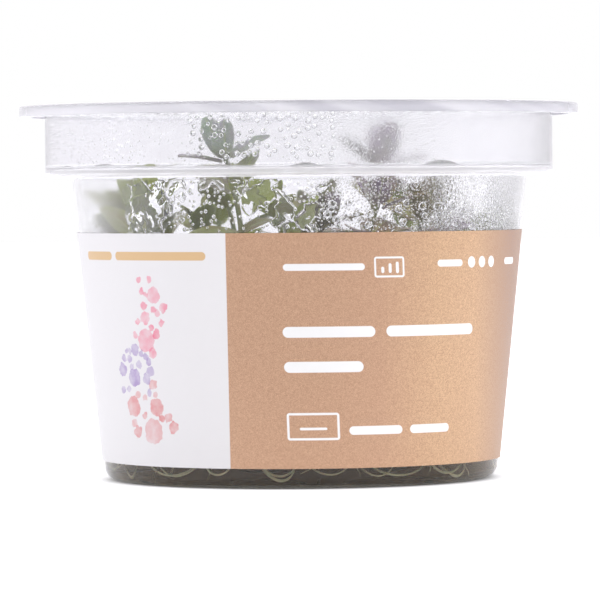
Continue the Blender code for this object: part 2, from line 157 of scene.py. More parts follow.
class Surface:
    """Shapes that are added one after another and become one mesh object."""

    def __init__(self) -> None:
        """Start with no shape."""
        self.points: list[Array] = []
        self.uvs: list[Array] = []
        self.tints: list[Array] = []
        self.faces: dict[int, list[Array]] = {4: [], 3: []}
        self.slots: dict[int, list[Array]] = {4: [], 3: []}
        self.count = 0

    def add_points(self, points: Array, uv: Array, tint: float = 0.0) -> None:
        """Add points with their pattern coordinates, and one tint for all.

        Args:
            points: the points, in any shape that ends in 3.
            uv: two pattern coordinates for each.
            tint: a number that the finish reads, the same for all.
        """
        self.points.append(points.reshape(-1, 3))
        self.uvs.append(uv.reshape(-1, 2))
        self.tints.append(np.full(len(self.points[-1]), tint))
        self.count += len(self.points[-1])

    def add_faces(self, corners: Array, slots: Array | int = 0) -> None:
        """Add faces by the numbers of their three or four corners, with their material slots.

        Args:
            corners: the point numbers, in any shape that ends in 3 or 4.
            slots: the material slots.
        """
        sides = corners.shape[-1]
        self.faces[sides].append(corners.reshape(-1, sides))
        self.slots[sides].append(np.broadcast_to(slots, corners.shape[:-1]).reshape(-1))

    def add_tubes(
        self,
        rings: Array,
        starts: Array,
        ends: Array,
        uv: Array | None = None,
        tint: float = 0.0,
        slots: Array | int = 0,
        end_slot: int | None = None,
    ) -> None:
        """Add closed tubes: rings that run right-handed round each one's way, and a point at each end.

        Args:
            rings: points of the rings, as (tube, ring, place on the ring, 3). For a single tube the
                first may be left out, here and in the ends.
            starts, ends: the points that close the ends of each tube.
            uv: two pattern coordinates for each ring point.
            tint: a number that the finish reads, the same all over.
            slots: the material slots of the faces between rings, as (row) or (row, place on the ring).
            end_slot: the slot of the faces at both ends, or None for that of the row beside them.
        """
        if rings.ndim == 3:
            rings, starts, ends = rings[None], starts[None], ends[None]
        tubes, rows, columns = rings.shape[:3]
        base = self.count + (rows * columns + 2) * np.arange(tubes)[:, None, None]
        index = base + np.arange(rows * columns).reshape(rows, columns)
        turned = np.roll(index, -1, axis=2)
        pole = np.broadcast_to(base[:, 0] + rows * columns, (tubes, columns))
        slots = np.asarray(slots)
        slots = np.broadcast_to(slots[:, None] if slots.ndim == 1 else slots, (tubes, rows - 1, columns))
        self.add_faces(np.stack((index[:, :-1], turned[:, :-1], turned[:, 1:], index[:, 1:]), axis=-1), slots)
        first, last = (slots[:, 0], slots[:, -1]) if end_slot is None else (end_slot, end_slot)
        self.add_faces(np.stack((pole, turned[:, 0], index[:, 0]), axis=-1), first)
        self.add_faces(np.stack((pole + 1, index[:, -1], turned[:, -1]), axis=-1), last)
        uv = np.zeros((tubes, rows * columns, 2)) if uv is None else uv.reshape(tubes, -1, 2)
        poles = (uv[:, :columns].mean(axis=1, keepdims=True), uv[:, -columns:].mean(axis=1, keepdims=True))
        points = np.concatenate((rings.reshape(tubes, -1, 3), starts[:, None], ends[:, None]), axis=1)
        self.add_points(points, np.concatenate((uv, *poles), axis=1), tint)

    def add_film(self, top: Array, bottom: Array, wet: Array) -> None:
        """Add a film on a grid, which thins out to nothing at its rim.

        Args:
            top, bottom: its two skins, as (row, column, 3). Rows and columns run right-handed round the
                way from the top skin to the bottom one.
            wet: whether each grid point is inside the film. Outside it the two skins share their points.
        """
        index = np.arange(wet.size).reshape(wet.shape)
        under = np.where(wet, index + wet.size, index)
        cells = (wet[:-1, :-1] | wet[1:, :-1] | wet[1:, 1:] | wet[:-1, 1:]).ravel()
        faces = []
        for skin, turns in ((index, -1), (under, 1)):
            quad = np.stack((skin[:-1, :-1], skin[1:, :-1], skin[1:, 1:], skin[:-1, 1:]), axis=-1)
            faces.append(quad.reshape(-1, 4)[cells][:, ::turns])
        used, packed = np.unique(np.concatenate(faces), return_inverse=True)
        self.add_faces(packed.reshape(-1, 4) + self.count)
        points = np.concatenate((top.reshape(-1, 3), bottom.reshape(-1, 3)))
        self.add_points(points[used], np.zeros((len(used), 2)))

    def build(self, name: str, *materials: Material) -> Thing:
        """Make one smooth-shaded mesh object of all that was added.

        Args:
            name: the object's name.
            materials: its material slots.

        Returns:
            The object, with its UV map and its tint attribute.
        """
        quads, triangles = (np.concatenate(self.faces[n] or [np.zeros((0, n), int)]) for n in (4, 3))
        corners = np.concatenate((quads.ravel(), triangles.ravel())).astype(np.int32)
        starts = np.concatenate((4 * np.arange(len(quads)), 4 * len(quads) + 3 * np.arange(len(triangles))))
        points = np.concatenate(self.points)
        mesh = bpy.data.meshes.new(name)
        mesh.vertices.add(len(points))
        mesh.vertices.foreach_set("co", points.astype(np.float32).ravel())
        mesh.loops.add(len(corners))
        mesh.loops.foreach_set("vertex_index", corners)
        mesh.polygons.add(len(starts))
        mesh.polygons.foreach_set("loop_start", starts.astype(np.int32))
        slots = np.concatenate(self.slots[4] + self.slots[3]).astype(np.int32)
        mesh.polygons.foreach_set("material_index", slots)
        mesh.update(calc_edges=True)
        uv_map = mesh.uv_layers.new(name="UVMap")
        uv_map.uv.foreach_set("vector", np.concatenate(self.uvs)[corners].astype(np.float32).ravel())
        tint = mesh.attributes.new("tint", "FLOAT", "POINT")
        tint.data.foreach_set("value", np.concatenate(self.tints).astype(np.float32))
        mesh.validate()
        mesh.shade_smooth()
        mesh.set_sharp_from_angle(angle=math.radians(40.0))
        for material in materials:
            mesh.materials.append(material)
        piece = bpy.data.objects.new(name, mesh)
        bpy.context.scene.collection.objects.link(piece)
        return piece


def turned_surface(section: Array, segments: int, slots: Array | int = 0) -> Surface:
    """A section turned round the cup's axis: each point (r, z) goes to r at every bearing.

    Args:
        section: points from the axis out, up the outside and back to the axis.
        segments: how many facets a turn has.
        slots: the material slot of each row of faces.

    Returns:
        The closed surface, with bearing and height in its UV map.
    """
    bearing = whole_turn(segments)[None, :]
    radius, height = section[1:-1, :1], section[1:-1, 1:]
    poles = [np.array((0.0, 0.0, z)) for z in (section[0, 1], section[-1, 1])]
    rings, uv = on_cup(bearing, radius, height), pattern(bearing / math.tau, height)
    surface = Surface()
    surface.add_tubes(rings, *poles, uv, slots=slots)
    return surface


class Value:
    """A number or colour in a node tree, which the usual signs reckon with."""

    def __init__(self, graph: Graph, socket: bpy.types.NodeSocket) -> None:
        """Keep the socket and the tree that it belongs to."""
        self.graph, self.socket = graph, socket

    def __add__(self, other: Value | float) -> Value:
        """The sum."""
        return self.graph.math("ADD", self, other)

    def __sub__(self, other: Value | float) -> Value:
        """The difference."""
        return self.graph.math("SUBTRACT", self, other)

    def __rsub__(self, other: float) -> Value:
        """A plain number less the value."""
        return self.graph.math("SUBTRACT", other, self)

    def __mul__(self, other: Value | float) -> Value:
        """The product."""
        return self.graph.math("MULTIPLY", self, other)

    def __abs__(self) -> Value:
        """The value without its sign."""
        return self.graph.math("ABSOLUTE", self)


class Graph:
    """A material's or the world's node tree, with short calls for the nodes that finishes share."""

    def __init__(self, name: str, world: bool = False) -> None:
        """Start an empty node tree of a new material or world.

        Args:
            name: the name of the material or world.
            world: whether it is a world.
        """
        self.owner = bpy.data.worlds.new(name) if world else bpy.data.materials.new(name)
        self.owner.use_nodes = True
        self.tree = self.owner.node_tree
        self.tree.nodes.clear()

    def node(
        self, kind: str, inputs: dict | None = None, output: int | str = 0, **settings: object
    ) -> Value | None:
        """Add a node.

        Args:
            kind: its type, without the words all types begin with.
            inputs: what its inputs are linked or set to, by name or number.
            output: the output that is wanted.
            settings: its other settings.

        Returns:
            The wanted output, or None from a node that has no outputs.
        """
        made = self.tree.nodes.new("ShaderNode" + kind)
        for key, value in settings.items():
            setattr(made, key, value)
        for key, value in (inputs or {}).items():
            if isinstance(value, Value):
                self.tree.links.new(value.socket, made.inputs[key])
            elif isinstance(value, tuple) and made.inputs[key].type == "RGBA":
                made.inputs[key].default_value = (*value, 1.0)
            else:
                made.inputs[key].default_value = value
        return Value(self, made.outputs[output]) if made.outputs else None

    def point(self) -> Value:
        """The point's place in the object, in metres."""
        return self.node("TexCoord", output="Object")

    def math(self, operation: str, first: Value | float, second: Value | float = 0.0) -> Value:
        """One step of arithmetic."""
        return self.node("Math", {0: first, 1: second}, operation=operation)

    def most(self, first: Value, second: Value) -> Value:
        """The greater of two values."""
        return self.math("MAXIMUM", first, second)

    def parts(self, vector: Value) -> list[Value]:
        """The three coordinates of a vector."""
        split = self.node("SeparateXYZ", {0: vector}).socket.node
        return [Value(self, socket) for socket in split.outputs]

    def off_axis(self, x: Value, y: Value) -> Value:
        """The distance from the cup's axis."""
        return self.math("SQRT", x * x + y * y)

    def noise(self, vector: Value, scale: float, detail: float = 2.0, stretch: tuple = (1, 1, 1)) -> Value:
        """Soft noise from 0 to 1, with its scale in bumps per metre and a stretch along each axis."""
        mapped = self.node("Mapping", {"Vector": vector, "Scale": stretch})
        return self.node("TexNoise", {"Vector": mapped, "Scale": scale, "Detail": detail})

    def span(self, value: Value, low: float, high: float, first: float = 0.0, last: float = 1.0) -> Value:
        """The value carried from the range low to high over to first to last, and held there."""
        inputs = {"Value": value, "From Min": low, "From Max": high, "To Min": first, "To Max": last}
        return self.node("MapRange", inputs)

    def fall(self, value: Value, low: float, high: float) -> Value:
        """A share that falls from 1 at low to 0 at high."""
        return self.span(value, low, high, 1.0, 0.0)

    def mix(self, share: Value, first: Value | Colour, second: Value | Colour) -> Value:
        """A colour between two, at a share of the second."""
        return self.node("Mix", {0: share, 6: first, 7: second}, 2, data_type="RGBA")

    def mix_shaders(self, share: Value, first: Value, second: Value) -> Value:
        """A shader between two, at a share of the second."""
        return self.node("MixShader", {0: share, 1: first, 2: second})

    def bump(self, height: Value, distance: float) -> Value:
        """A normal bent by a height, whose 0 to 1 stands for a distance in metres."""
        return self.node("Bump", {"Height": height, "Distance": distance, "Strength": 1.0})

    def principled(self, **inputs: object) -> Value:
        """The main shader, with each input named by its words joined with underscores."""
        return self.node("BsdfPrincipled", {key.replace("_", " "): value for key, value in inputs.items()})

    def ray(self, kind: str) -> Value:
        """Whether the ray is of a kind."""
        return self.node("LightPath", output=f"Is {kind} Ray")

    def clear(self, tone: Colour) -> Value:
        """A shader that light passes straight through, with a tone."""
        return self.node("BsdfTransparent", {"Color": tone})

    def lets_lamps_through(self, shader: Value, tone: Colour) -> Value:
        """The shader, but clear to lamps with a tone, so that what it shuts in is lit."""
        return self.mix_shaders(self.ray("Shadow"), shader, self.clear(tone))

    def finish(self, surface: Value, **volume: Value) -> Material:
        """Link the shaders to the output and give back the material."""
        self.node("OutputMaterial", {"Surface": surface, **volume})
        return self.owner


@dataclass(frozen=True)
class ClearPlastic:
    """Thin moulded plastic: clear or cloudy, with a slow waviness and, where asked for, darker slanting bands that
    are painted reflections.
    """

    name: str
    colour: Colour = (0.980, 0.980, 0.988)
    clearness: float = 0.994
    roughness: float = 0.045
    painted_reflection_tone: Colour | None = None
    waviness: float = 0.010 * MM
    wave_scale: float = 70.0
    shade_for_lamps: Colour = (0.95, 0.95, 0.96)

    def material(self) -> Material:
        """The plastic. Its painted reflections, darker slanting bands, lie on the lid's rim, lean, and thin out
        towards -X.

        Returns:
            The material.
        """
        graph = Graph(self.name)
        point = graph.point()
        colour: Value | Colour = self.colour
        # Painted reflection: darker slanting bands of a second tone on the lid's rim, towards +X, stand in for the
        # reflections that the rim shows.
        if self.painted_reflection_tone:
            x, y, z = graph.parts(point)
            slanted = graph.node("CombineXYZ", {0: x + z * 3.0})
            painted_reflection_mask = graph.span(graph.noise(slanted, 85.0, 1.0), 0.40, 0.56)
            rim = graph.span(graph.off_axis(x, y), 43.0 * MM, 47.0 * MM)
            share = painted_reflection_mask * rim * graph.span(x, -34.0 * MM, -6.0 * MM)
            colour = graph.mix(share, self.colour, self.painted_reflection_tone)
        shader = graph.principled(
            Base_Color=colour,
            Transmission_Weight=self.clearness,
            Roughness=self.roughness,
            IOR=PLASTIC_IOR,
            Normal=graph.bump(graph.noise(point, self.wave_scale, 1.0, (1.0, 1.0, 2.5)), self.waviness),
        )
        return graph.finish(graph.lets_lamps_through(shader, self.shade_for_lamps))


@dataclass(frozen=True)
class FoggedPlastic:
    """The cup's inner skin: the same plastic under a breath of drops too small to model."""

    name: str = "fogged_plastic"
    colour: Colour = (0.980, 0.980, 0.988)
    clearness: float = 0.994
    clear_roughness: float = 0.05
    fog_roughness: float = 0.20
    most_mist: float = 0.20
    bead_spacing: float = 0.32 * MM
    bead_height: float = 0.06 * MM
    shade_for_lamps: Colour = (0.93, 0.93, 0.94)

    def material(self) -> Material:
        """The fogged skin: fog thickens towards +X, in slow patches, at the left edge and in the collar.

        Returns:
            The material.
        """
        graph = Graph(self.name)
        point = graph.point()
        x, _, z = graph.parts(point)
        side = graph.span(x, 8.0 * MM, 30.0 * MM)
        fog = graph.span(graph.noise(point, 90.0, 3.0) + side * 0.30, 0.55, 0.85)
        cells = graph.node("TexVoronoi", {"Vector": point, "Scale": 1.0 / self.bead_spacing})
        beads = graph.fall(cells, 0.15, 0.55)
        body = graph.fall(z, 54.5 * MM, 55.5 * MM)
        height = beads * (body * graph.span(fog, 0.0, 1.0, 0.0, 0.7))
        right = self.breath(graph, x, 13.0, 8.0, 18.0)
        left = self.breath(graph, x, -15.0, 5.0, 16.0)
        breath = graph.most(right, left * 0.4) * (1.0 - body)
        height = graph.most(height, breath * 0.16 * beads)
        edge = graph.fall(x, -34.5 * MM, -29.0 * MM) * body
        mist = graph.most(edge, breath) * self.most_mist
        fog = graph.most(graph.most(fog, breath * 0.35), edge)
        shader = graph.principled(
            Base_Color=self.colour,
            Transmission_Weight=self.clearness - mist,
            Roughness=graph.span(fog + mist, 0.0, 1.0, self.clear_roughness, self.fog_roughness),
            IOR=PLASTIC_IOR,
            Normal=graph.bump(height, self.bead_height),
        )
        return graph.finish(graph.lets_lamps_through(shader, self.shade_for_lamps))

    @staticmethod
    def breath(graph: Graph, x: Value, middle: float, full: float, end: float) -> Value:
        """A breath of fog round a place along X, whole out to one distance and gone at the next, in mm."""
        return graph.fall(abs(x - middle * MM), full * MM, end * MM)


@dataclass(frozen=True)
class WettedPlastic:
    """The cup's inner skin where gel touches it, which bends light only by the step between the two."""

    name: str = "wetted_plastic"
    colour: Colour = (0.97, 0.97, 0.975)

    def material(self) -> Material:
        """The wetted skin.

        Returns:
            The material.
        """
        graph = Graph(self.name)
        shader = graph.principled(
            Base_Color=self.colour, Transmission_Weight=1.0, Roughness=0.02, IOR=WETTED_IOR
        )
        return graph.finish(graph.lets_lamps_through(shader, (0.97, 0.97, 0.97)))


@dataclass(frozen=True)
class Water:
    """Drops of condensed water."""

    name: str = "condensed_water"
    colour: Colour = (0.985, 0.99, 0.99)

    def material(self) -> Material:
        """Clear water with a trace of unevenness.

        Returns:
            The material.
        """
        graph = Graph(self.name)
        ripple = graph.bump(graph.noise(graph.point(), 900.0, 1.0), 0.01 * MM)
        shader = graph.principled(
            Base_Color=self.colour, Transmission_Weight=1.0, Roughness=0.01, IOR=WATER_IOR, Normal=ripple
        )
        return graph.finish(graph.lets_lamps_through(shader, (0.98, 0.98, 0.98)))


@dataclass(frozen=True)
class SetGel:
    """Set culture gel: see-through, olive brown in depth, slightly cloudy on top."""

    name: str = "culture_gel_finish"
    absorbed: Colour = (0.67, 0.62, 0.46)
    density: float = 168.0

    def material(self) -> Material:
        """Gel with a damp, dimpled top. Where it touches the cup, its skin doesn't show.

        Returns:
            The material.
        """
        graph = Graph(self.name)
        point = graph.point()
        x, y, z = graph.parts(point)
        shader = graph.principled(
            Base_Color=(0.96, 0.94, 0.88),
            Transmission_Weight=0.98,
            Roughness=0.16,
            IOR=GEL_IOR,
            Normal=graph.bump(graph.noise(point, 260.0, 3.0), 0.05 * MM),
        )
        beside = graph.math("GREATER_THAN", graph.off_axis(x, y) - z * CupForm.draft, 34.45 * MM)
        below = graph.math("LESS_THAN", z, 10.0 * MM)
        skin = graph.mix_shaders(graph.most(beside, below), shader, graph.clear((0.98, 0.97, 0.95)))
        volume = graph.node("VolumeAbsorption", {"Color": self.absorbed, "Density": self.density})
        return graph.finish(graph.lets_lamps_through(skin, (0.50, 0.46, 0.34)), Volume=volume)


@dataclass(frozen=True)
class PlantSkin:
    """Leaf and stem skin: green where the tint is 0, and dull purple or brown where it is 1."""

    name: str
    green: Colour = (0.285, 0.330, 0.045)
    pale: Colour = (0.45, 0.50, 0.15)
    purple: Colour = (0.300, 0.225, 0.310)
    brown: Colour = (0.280, 0.180, 0.100)
    young: Colour = (0.300, 0.400, 0.285)
    young_purple: Colour = (0.600, 0.490, 0.640)
    roughness: float = 0.42
    veins: int = 7

    def material(self) -> Material:
        """Blotchy skin with a pale midrib and curved side veins, read from the blade's UV map.

        Returns:
            The material.
        """
        graph = Graph(self.name)
        point = graph.point()
        along, across, _ = graph.parts(graph.node("TexCoord", output="UV"))
        height = graph.node("SeparateXYZ", {0: point}, 2)
        blotches, grain = graph.noise(point, 420.0, 4.0), graph.noise(point, 3200.0, 2.0)
        tint = graph.node("Attribute", output="Fac", attribute_name="tint")
        tint = tint + graph.span(blotches, 0.35, 0.65, -0.22, 0.22)
        patches = graph.span(graph.noise(point, 45.0, 1.0), 0.46, 0.56)
        flush = graph.mix(patches * graph.fall(height, 52.0 * MM, 54.5 * MM), self.purple, self.brown)
        age = graph.span(height, 56.0 * MM, 60.5 * MM)
        green, flush = graph.mix(age, self.green, self.young), graph.mix(age, flush, self.young_purple)
        skin = graph.mix(graph.span(tint, 0.0, 1.0), green, flush)
        off_rib = abs(across)
        wave = graph.math("SINE", (along - off_rib * 0.22) * (self.veins * math.tau))
        lines = graph.most(graph.fall(off_rib, 0.02, 0.11), graph.span(wave, 0.80, 1.0, 0.0, 0.35))
        veined = graph.mix(lines * 0.55, skin, self.pale)
        shader = graph.principled(
            Base_Color=graph.mix(graph.span(grain, 0.3, 0.7, 0.0, 0.18), veined, (0.05, 0.055, 0.03)),
            Roughness=graph.span(blotches, 0.3, 0.7, self.roughness - 0.08, self.roughness + 0.08),
            Specular_IOR_Level=0.30,
            Subsurface_Weight=0.25,
            Subsurface_Radius=(0.6, 0.9, 0.3),
            Subsurface_Scale=0.8 * MM,
            Normal=graph.bump(lines * -0.6 + grain * 0.35, 0.10 * MM),
        )
        return graph.finish(shader)


@dataclass(frozen=True)
class RootSkin:
    """Pale roots, straw-coloured in the gel."""

    name: str = "gel_root_skin"
    light: Colour = (0.56, 0.54, 0.37)
    dark: Colour = (0.38, 0.37, 0.23)

    def material(self) -> Material:
        """Waxy straw with darker stretches.

        Returns:
            The material.
        """
        graph = Graph(self.name)
        stretches = graph.span(graph.noise(graph.point(), 150.0, 2.0), 0.35, 0.65)
        colour = graph.mix(stretches, self.light, self.dark)
        soft = {"Subsurface_Weight": 0.2, "Subsurface_Scale": 0.3 * MM}
        return graph.finish(graph.principled(Base_Color=colour, Roughness=0.5, **soft))


GOLD_INK: Colour = (0.62, 0.42, 0.22)
WHITE_INK: Colour = (0.90, 0.90, 0.90)
PINK_INK: Colour = (0.70, 0.12, 0.22)
VIOLET_INK: Colour = (0.30, 0.20, 0.46)
RED_INK: Colour = (0.60, 0.13, 0.13)


@dataclass(frozen=True)
class Mark:
    """A flat printed mark on the label: a rounded box, given round the label and up, in mm."""

    x: float
    z: float
    half_width: float
    half_height: float
    rounding: float
    colour: Colour = WHITE_INK
    opacity: float = 1.0
    outline: float = 0.0


PLAIN_MARKS = (
    Mark(-31.6, 40.8, 5.2, 0.75, 0.75, GOLD_INK),
    Mark(-14.6, 40.8, 10.6, 0.75, 0.75, GOLD_INK),
    Mark(17.1, 38.8, 7.2, 0.60, 0.60),
    Mark(28.9, 38.7, 2.7, 1.65, 0.3, outline=0.17),
    Mark(27.6, 38.2, 0.28, 0.55, 0.28),
    Mark(29.0, 38.5, 0.28, 0.85, 0.28),
    Mark(30.4, 38.6, 0.28, 1.0, 0.28),
    Mark(41.8, 39.2, 3.0, 0.60, 0.60),
    Mark(47.3, 39.3, 1.0, 1.0, 1.0),
    Mark(50.4, 39.3, 1.0, 1.0, 1.0),
    Mark(53.5, 39.3, 1.0, 1.0, 1.0),
    Mark(61.6, 39.3, 2.6, 0.60, 0.60),
    Mark(17.6, 27.5, 8.2, 0.95, 0.95),
    Mark(37.7, 27.5, 9.8, 0.95, 0.95),
    Mark(16.4, 21.4, 7.0, 0.95, 0.95),
    Mark(14.1, 11.0, 4.4, 2.2, 0.3, outline=0.20),
    Mark(14.1, 10.6, 2.4, 0.22, 0.22),
    Mark(25.4, 10.2, 5.0, 0.75, 0.75),
    Mark(36.4, 10.2, 4.4, 0.75, 0.75),
)


def watercolour_rounds() -> list[Mark]:
    """Soft rounds that drift up the white panel in a swaying column, pink over violet over red.

    Returns:
        Rounds that hardly overlap, placed by trying spots from a seeded generator.
    """
    rng = np.random.default_rng(ROUNDS_SEED)
    rounds: list[Mark] = []
    for _ in range(260):
        z = rng.uniform(9.0, 37.0)
        share = (z - 9.0) / 28.0
        x = -18.5 + 2.6 * math.sin(z / 4.2) + rng.uniform(-1.0, 1.0) * (5.6 - 3.4 * share)
        radius = 0.55 + 1.75 * rng.uniform(0.0, 1.0) ** 1.4
        if any(math.hypot(x - other.x, z - other.z) < 0.86 * (radius + other.half_width) for other in rounds):
            continue
        ink = RED_INK
        if rng.uniform(0.50, 0.85) < share:
            ink = PINK_INK
        elif rng.uniform(0.12, 0.45) < share:
            ink = VIOLET_INK
        rounds.append(Mark(x, z, radius, radius, radius, ink, rng.uniform(0.45, 0.85)))
    return rounds


@dataclass(frozen=True)
class PrintedFilm:
    """The label's print: a white panel and a grained gold one, with plain marks on both, and on the gold a painted
    highlight and a painted shade.
    """

    name: str = "printed_film"
    panel_white: Colour = (0.695, 0.685, 0.695)
    gold: Colour = (0.635, 0.40, 0.265)
    gold_painted_highlight: Colour = (0.74, 0.50, 0.30)
    gold_painted_shade: Colour = (0.34, 0.235, 0.195)
    grain_dark: Colour = (0.45, 0.265, 0.165)
    lean: float = 0.021
    gold_start: float = -0.5

    def material(self) -> Material:
        """The print, read from the label's UV map in mm. The gold's painted highlight and painted shade are read
        from the place on the cup.

        Returns:
            The material.
        """
        graph = Graph(self.name)
        place, point = graph.node("TexCoord", output="UV"), graph.point()
        across, up, _ = graph.parts(place)
        x, y, _ = graph.parts(point)
        edge = across - (up - 25.0) * self.lean
        on_gold = graph.span(edge, self.gold_start - 0.06, self.gold_start + 0.06)
        flakes = graph.noise(point, 2600.0, 2.0)
        speckle = graph.span(graph.noise(point, 8200.0, 2.0) + flakes * 0.3, 0.50, 0.80)
        # Painted highlight: from 14 to 24 mm along X the gold lightens to a brighter tone, where a lamp's sheen
        # falls on the label.
        gold = graph.mix(graph.span(x, 14.0 * MM, 24.0 * MM), self.gold, self.gold_painted_highlight)
        # Painted shade: from 31 to 38 mm along X, fading out between Y 0 and 14 mm, the gold darkens to a shaded
        # tone where the label turns away from the light.
        end = graph.span(x, 31.0 * MM, 38.0 * MM) * graph.fall(y, 0.0, 14.0 * MM)
        gold = graph.mix(speckle, self.grain_dark, graph.mix(end, gold, self.gold_painted_shade))
        colour = graph.mix(on_gold, self.panel_white, gold)
        wash = graph.noise(place, 0.55, 4.0)
        ragged = graph.span(graph.noise(place, 1.0, 2.0), 0.25, 0.75, -0.30, 0.30)
        for mark in watercolour_rounds():
            strength = graph.span(wash, 0.30, 0.62, 0.45 * mark.opacity, mark.opacity)
            colour = graph.mix(self.cover(graph, place, mark, ragged) * strength, colour, mark.colour)
        for mark in PLAIN_MARKS:
            colour = graph.mix(self.cover(graph, place, mark, 0.0), colour, mark.colour)
        shader = graph.principled(
            Base_Color=colour,
            Roughness=graph.span(on_gold, 0.0, 1.0, 0.42, 0.46),
            Metallic=on_gold * 0.25,
            Normal=graph.bump(speckle, 0.012 * MM),
        )
        return graph.finish(shader)

    @staticmethod
    def cover(graph: Graph, place: Value, mark: Mark, ragged: Value | float) -> Value:
        """How much a mark covers at each point.

        Args:
            graph: the print's node tree.
            place: the point on the label, in mm.
            mark: the mark.
            ragged: how far its edge is moved.

        Returns:
            A share: 1 inside the mark's rounded box, or on its outline, and 0 away from it.
        """

        def step(operation: str, first: Value, second: tuple = (0.0, 0.0, 0.0), output: int = 0) -> Value:
            """One vector step."""
            return graph.node("VectorMath", {0: first, 1: second}, output, operation=operation)

        half = (mark.half_width - mark.rounding, mark.half_height - mark.rounding, 1.0)
        offset = step("ABSOLUTE", step("SUBTRACT", place, (mark.x, mark.z, 0.0)))
        outside = step("MAXIMUM", step("SUBTRACT", offset, half))
        distance = step("LENGTH", outside, output=1) - mark.rounding + ragged
        if mark.outline:
            distance = abs(distance)
        return graph.fall(distance, mark.outline - 0.05, mark.outline + 0.05)


@dataclass(frozen=True)
class FilmBack:
    """The label's back, seen through the cup: plain white film."""

    name: str = "film_back"

    def material(self) -> Material:
        """Slightly uneven white film.

        Returns:
            The material.
        """
        graph = Graph(self.name)
        colour = graph.mix(graph.noise(graph.point(), 300.0, 3.0), (0.62, 0.60, 0.60), (0.70, 0.68, 0.68))
        return graph.finish(graph.principled(Base_Color=colour, Roughness=0.5))


@dataclass(frozen=True)
class CupForm:
    """The driving sizes of the cup and its lid, the same as in the solids."""

    foot_radius: float = 33.4 * MM
    foot_width: float = 2.2 * MM
    foot_recess: float = 0.3 * MM
    heel_radius: float = 2.4 * MM
    radius_at_ground: float = 35.5 * MM
    draft: float = 0.103
    shoulder_underside: float = 54.9 * MM
    shoulder_thickness: float = 1.0 * MM
    collar_radius: float = 46.0 * MM
    collar_corner: float = 0.7 * MM
    flange_radius: float = 49.6 * MM
    flange_top: float = 66.8 * MM
    flange_thickness: float = 0.6 * MM
    wall: float = 0.8 * MM
    floor_thickness: float = 0.7 * MM
    inner_heel_radius: float = 1.6 * MM
    lid_top: float = 67.6 * MM
    lid_thickness: float = 0.5 * MM
    panel_drop: float = 0.9 * MM
    segments: int = 288

    def body_radius(self, height: Array | float, inset: float = 0.0) -> Array | float:
        """The radius of the body's outer wall at a height, less an inset."""
        return self.radius_at_ground + self.draft * height - inset

    @property
    def floor_top(self) -> float:
        """The height of the floor's inner face."""
        return self.foot_recess + self.floor_thickness

    @property
    def ledge_top(self) -> float:
        """The height of the shoulder's inner face."""
        return self.shoulder_underside + self.shoulder_thickness

    @property
    def panel_underside(self) -> float:
        """The height of the lid's underside in its sunk panel."""
        return self.lid_top - self.panel_drop - self.lid_thickness

    @property
    def inner_collar(self) -> float:
        """The radius of the collar's inner face."""
        return self.collar_radius - self.wall

    def outside(self) -> Outline:
        """The section from the floor's underside up the outside to the flange's top edge.

        Returns:
            The section's points.
        """
        heel, corner, lean = self.heel_radius, self.collar_corner, math.radians(6.0)
        heel_x = self.body_radius(heel - heel * math.sin(lean)) - heel * math.cos(lean)
        foot_in = self.foot_radius - self.foot_width
        shoulder, flange = self.shoulder_underside, self.flange_top - self.flange_thickness
        return [
            (0.0, self.foot_recess),
            (foot_in - self.foot_recess, self.foot_recess),
            (foot_in, 0.0),
            *rounding(heel_x + heel, 0.0, heel, -90.0, -6.0, 10),
            *rounding(self.body_radius(shoulder), shoulder, 0.4 * MM, 174.0, 90.0, 4),
            *rounding(self.collar_radius, shoulder, corner, -90.0, 0.0, 8),
            *rounding(self.collar_radius, flange, 0.3 * MM, 180.0, 90.0, 3),
            *rounding(self.flange_radius, flange, 0.2 * MM, -90.0, 0.0, 3),
            *rounding(self.flange_radius, self.flange_top, 0.2 * MM, 0.0, 90.0, 3),
        ]

    def inside(self) -> Outline:
        """The section from the flange's inner edge down the inside to the floor's centre.

        Returns:
            The section's points.
        """
        heel, floor, ledge = self.inner_heel_radius, self.floor_top, self.ledge_top
        return [
            *rounding(self.inner_collar, self.flange_top, 0.25 * MM, 90.0, 180.0, 4),
            *rounding(self.inner_collar, ledge, self.collar_corner, 0.0, -90.0, 8),
            *rounding(self.body_radius(ledge, self.wall), ledge, 0.35 * MM, 90.0, 174.0, 5),
            *rounding(self.body_radius(floor + heel, self.wall), floor, heel, -6.0, -90.0, 10),
            (0.0, floor),
        ]


@dataclass
class Part:
    """A sub-assembly with its pieces, the slot of each and the solid that each stands in for."""

    pieces: list[tuple[Thing, str, tuple[str, ...]]] = field(default_factory=list, init=False)

    def keep(self, piece: Thing, slot: str, *nodes: str) -> None:
        """Note a piece, its slot and the solids that it replaces."""
        self.pieces.append((piece, slot, nodes))

    def dress(self) -> None:
        """Put every piece on the cup's body, in its solid's place."""
        for piece, slot, nodes in self.pieces:
            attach(piece, "root")
            if nodes:
                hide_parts(*nodes)
            faces = len(piece.data.polygons)
            LOG.info("%s: %d faces, in place of %s", piece.name, faces, ", ".join(nodes) or "nothing")


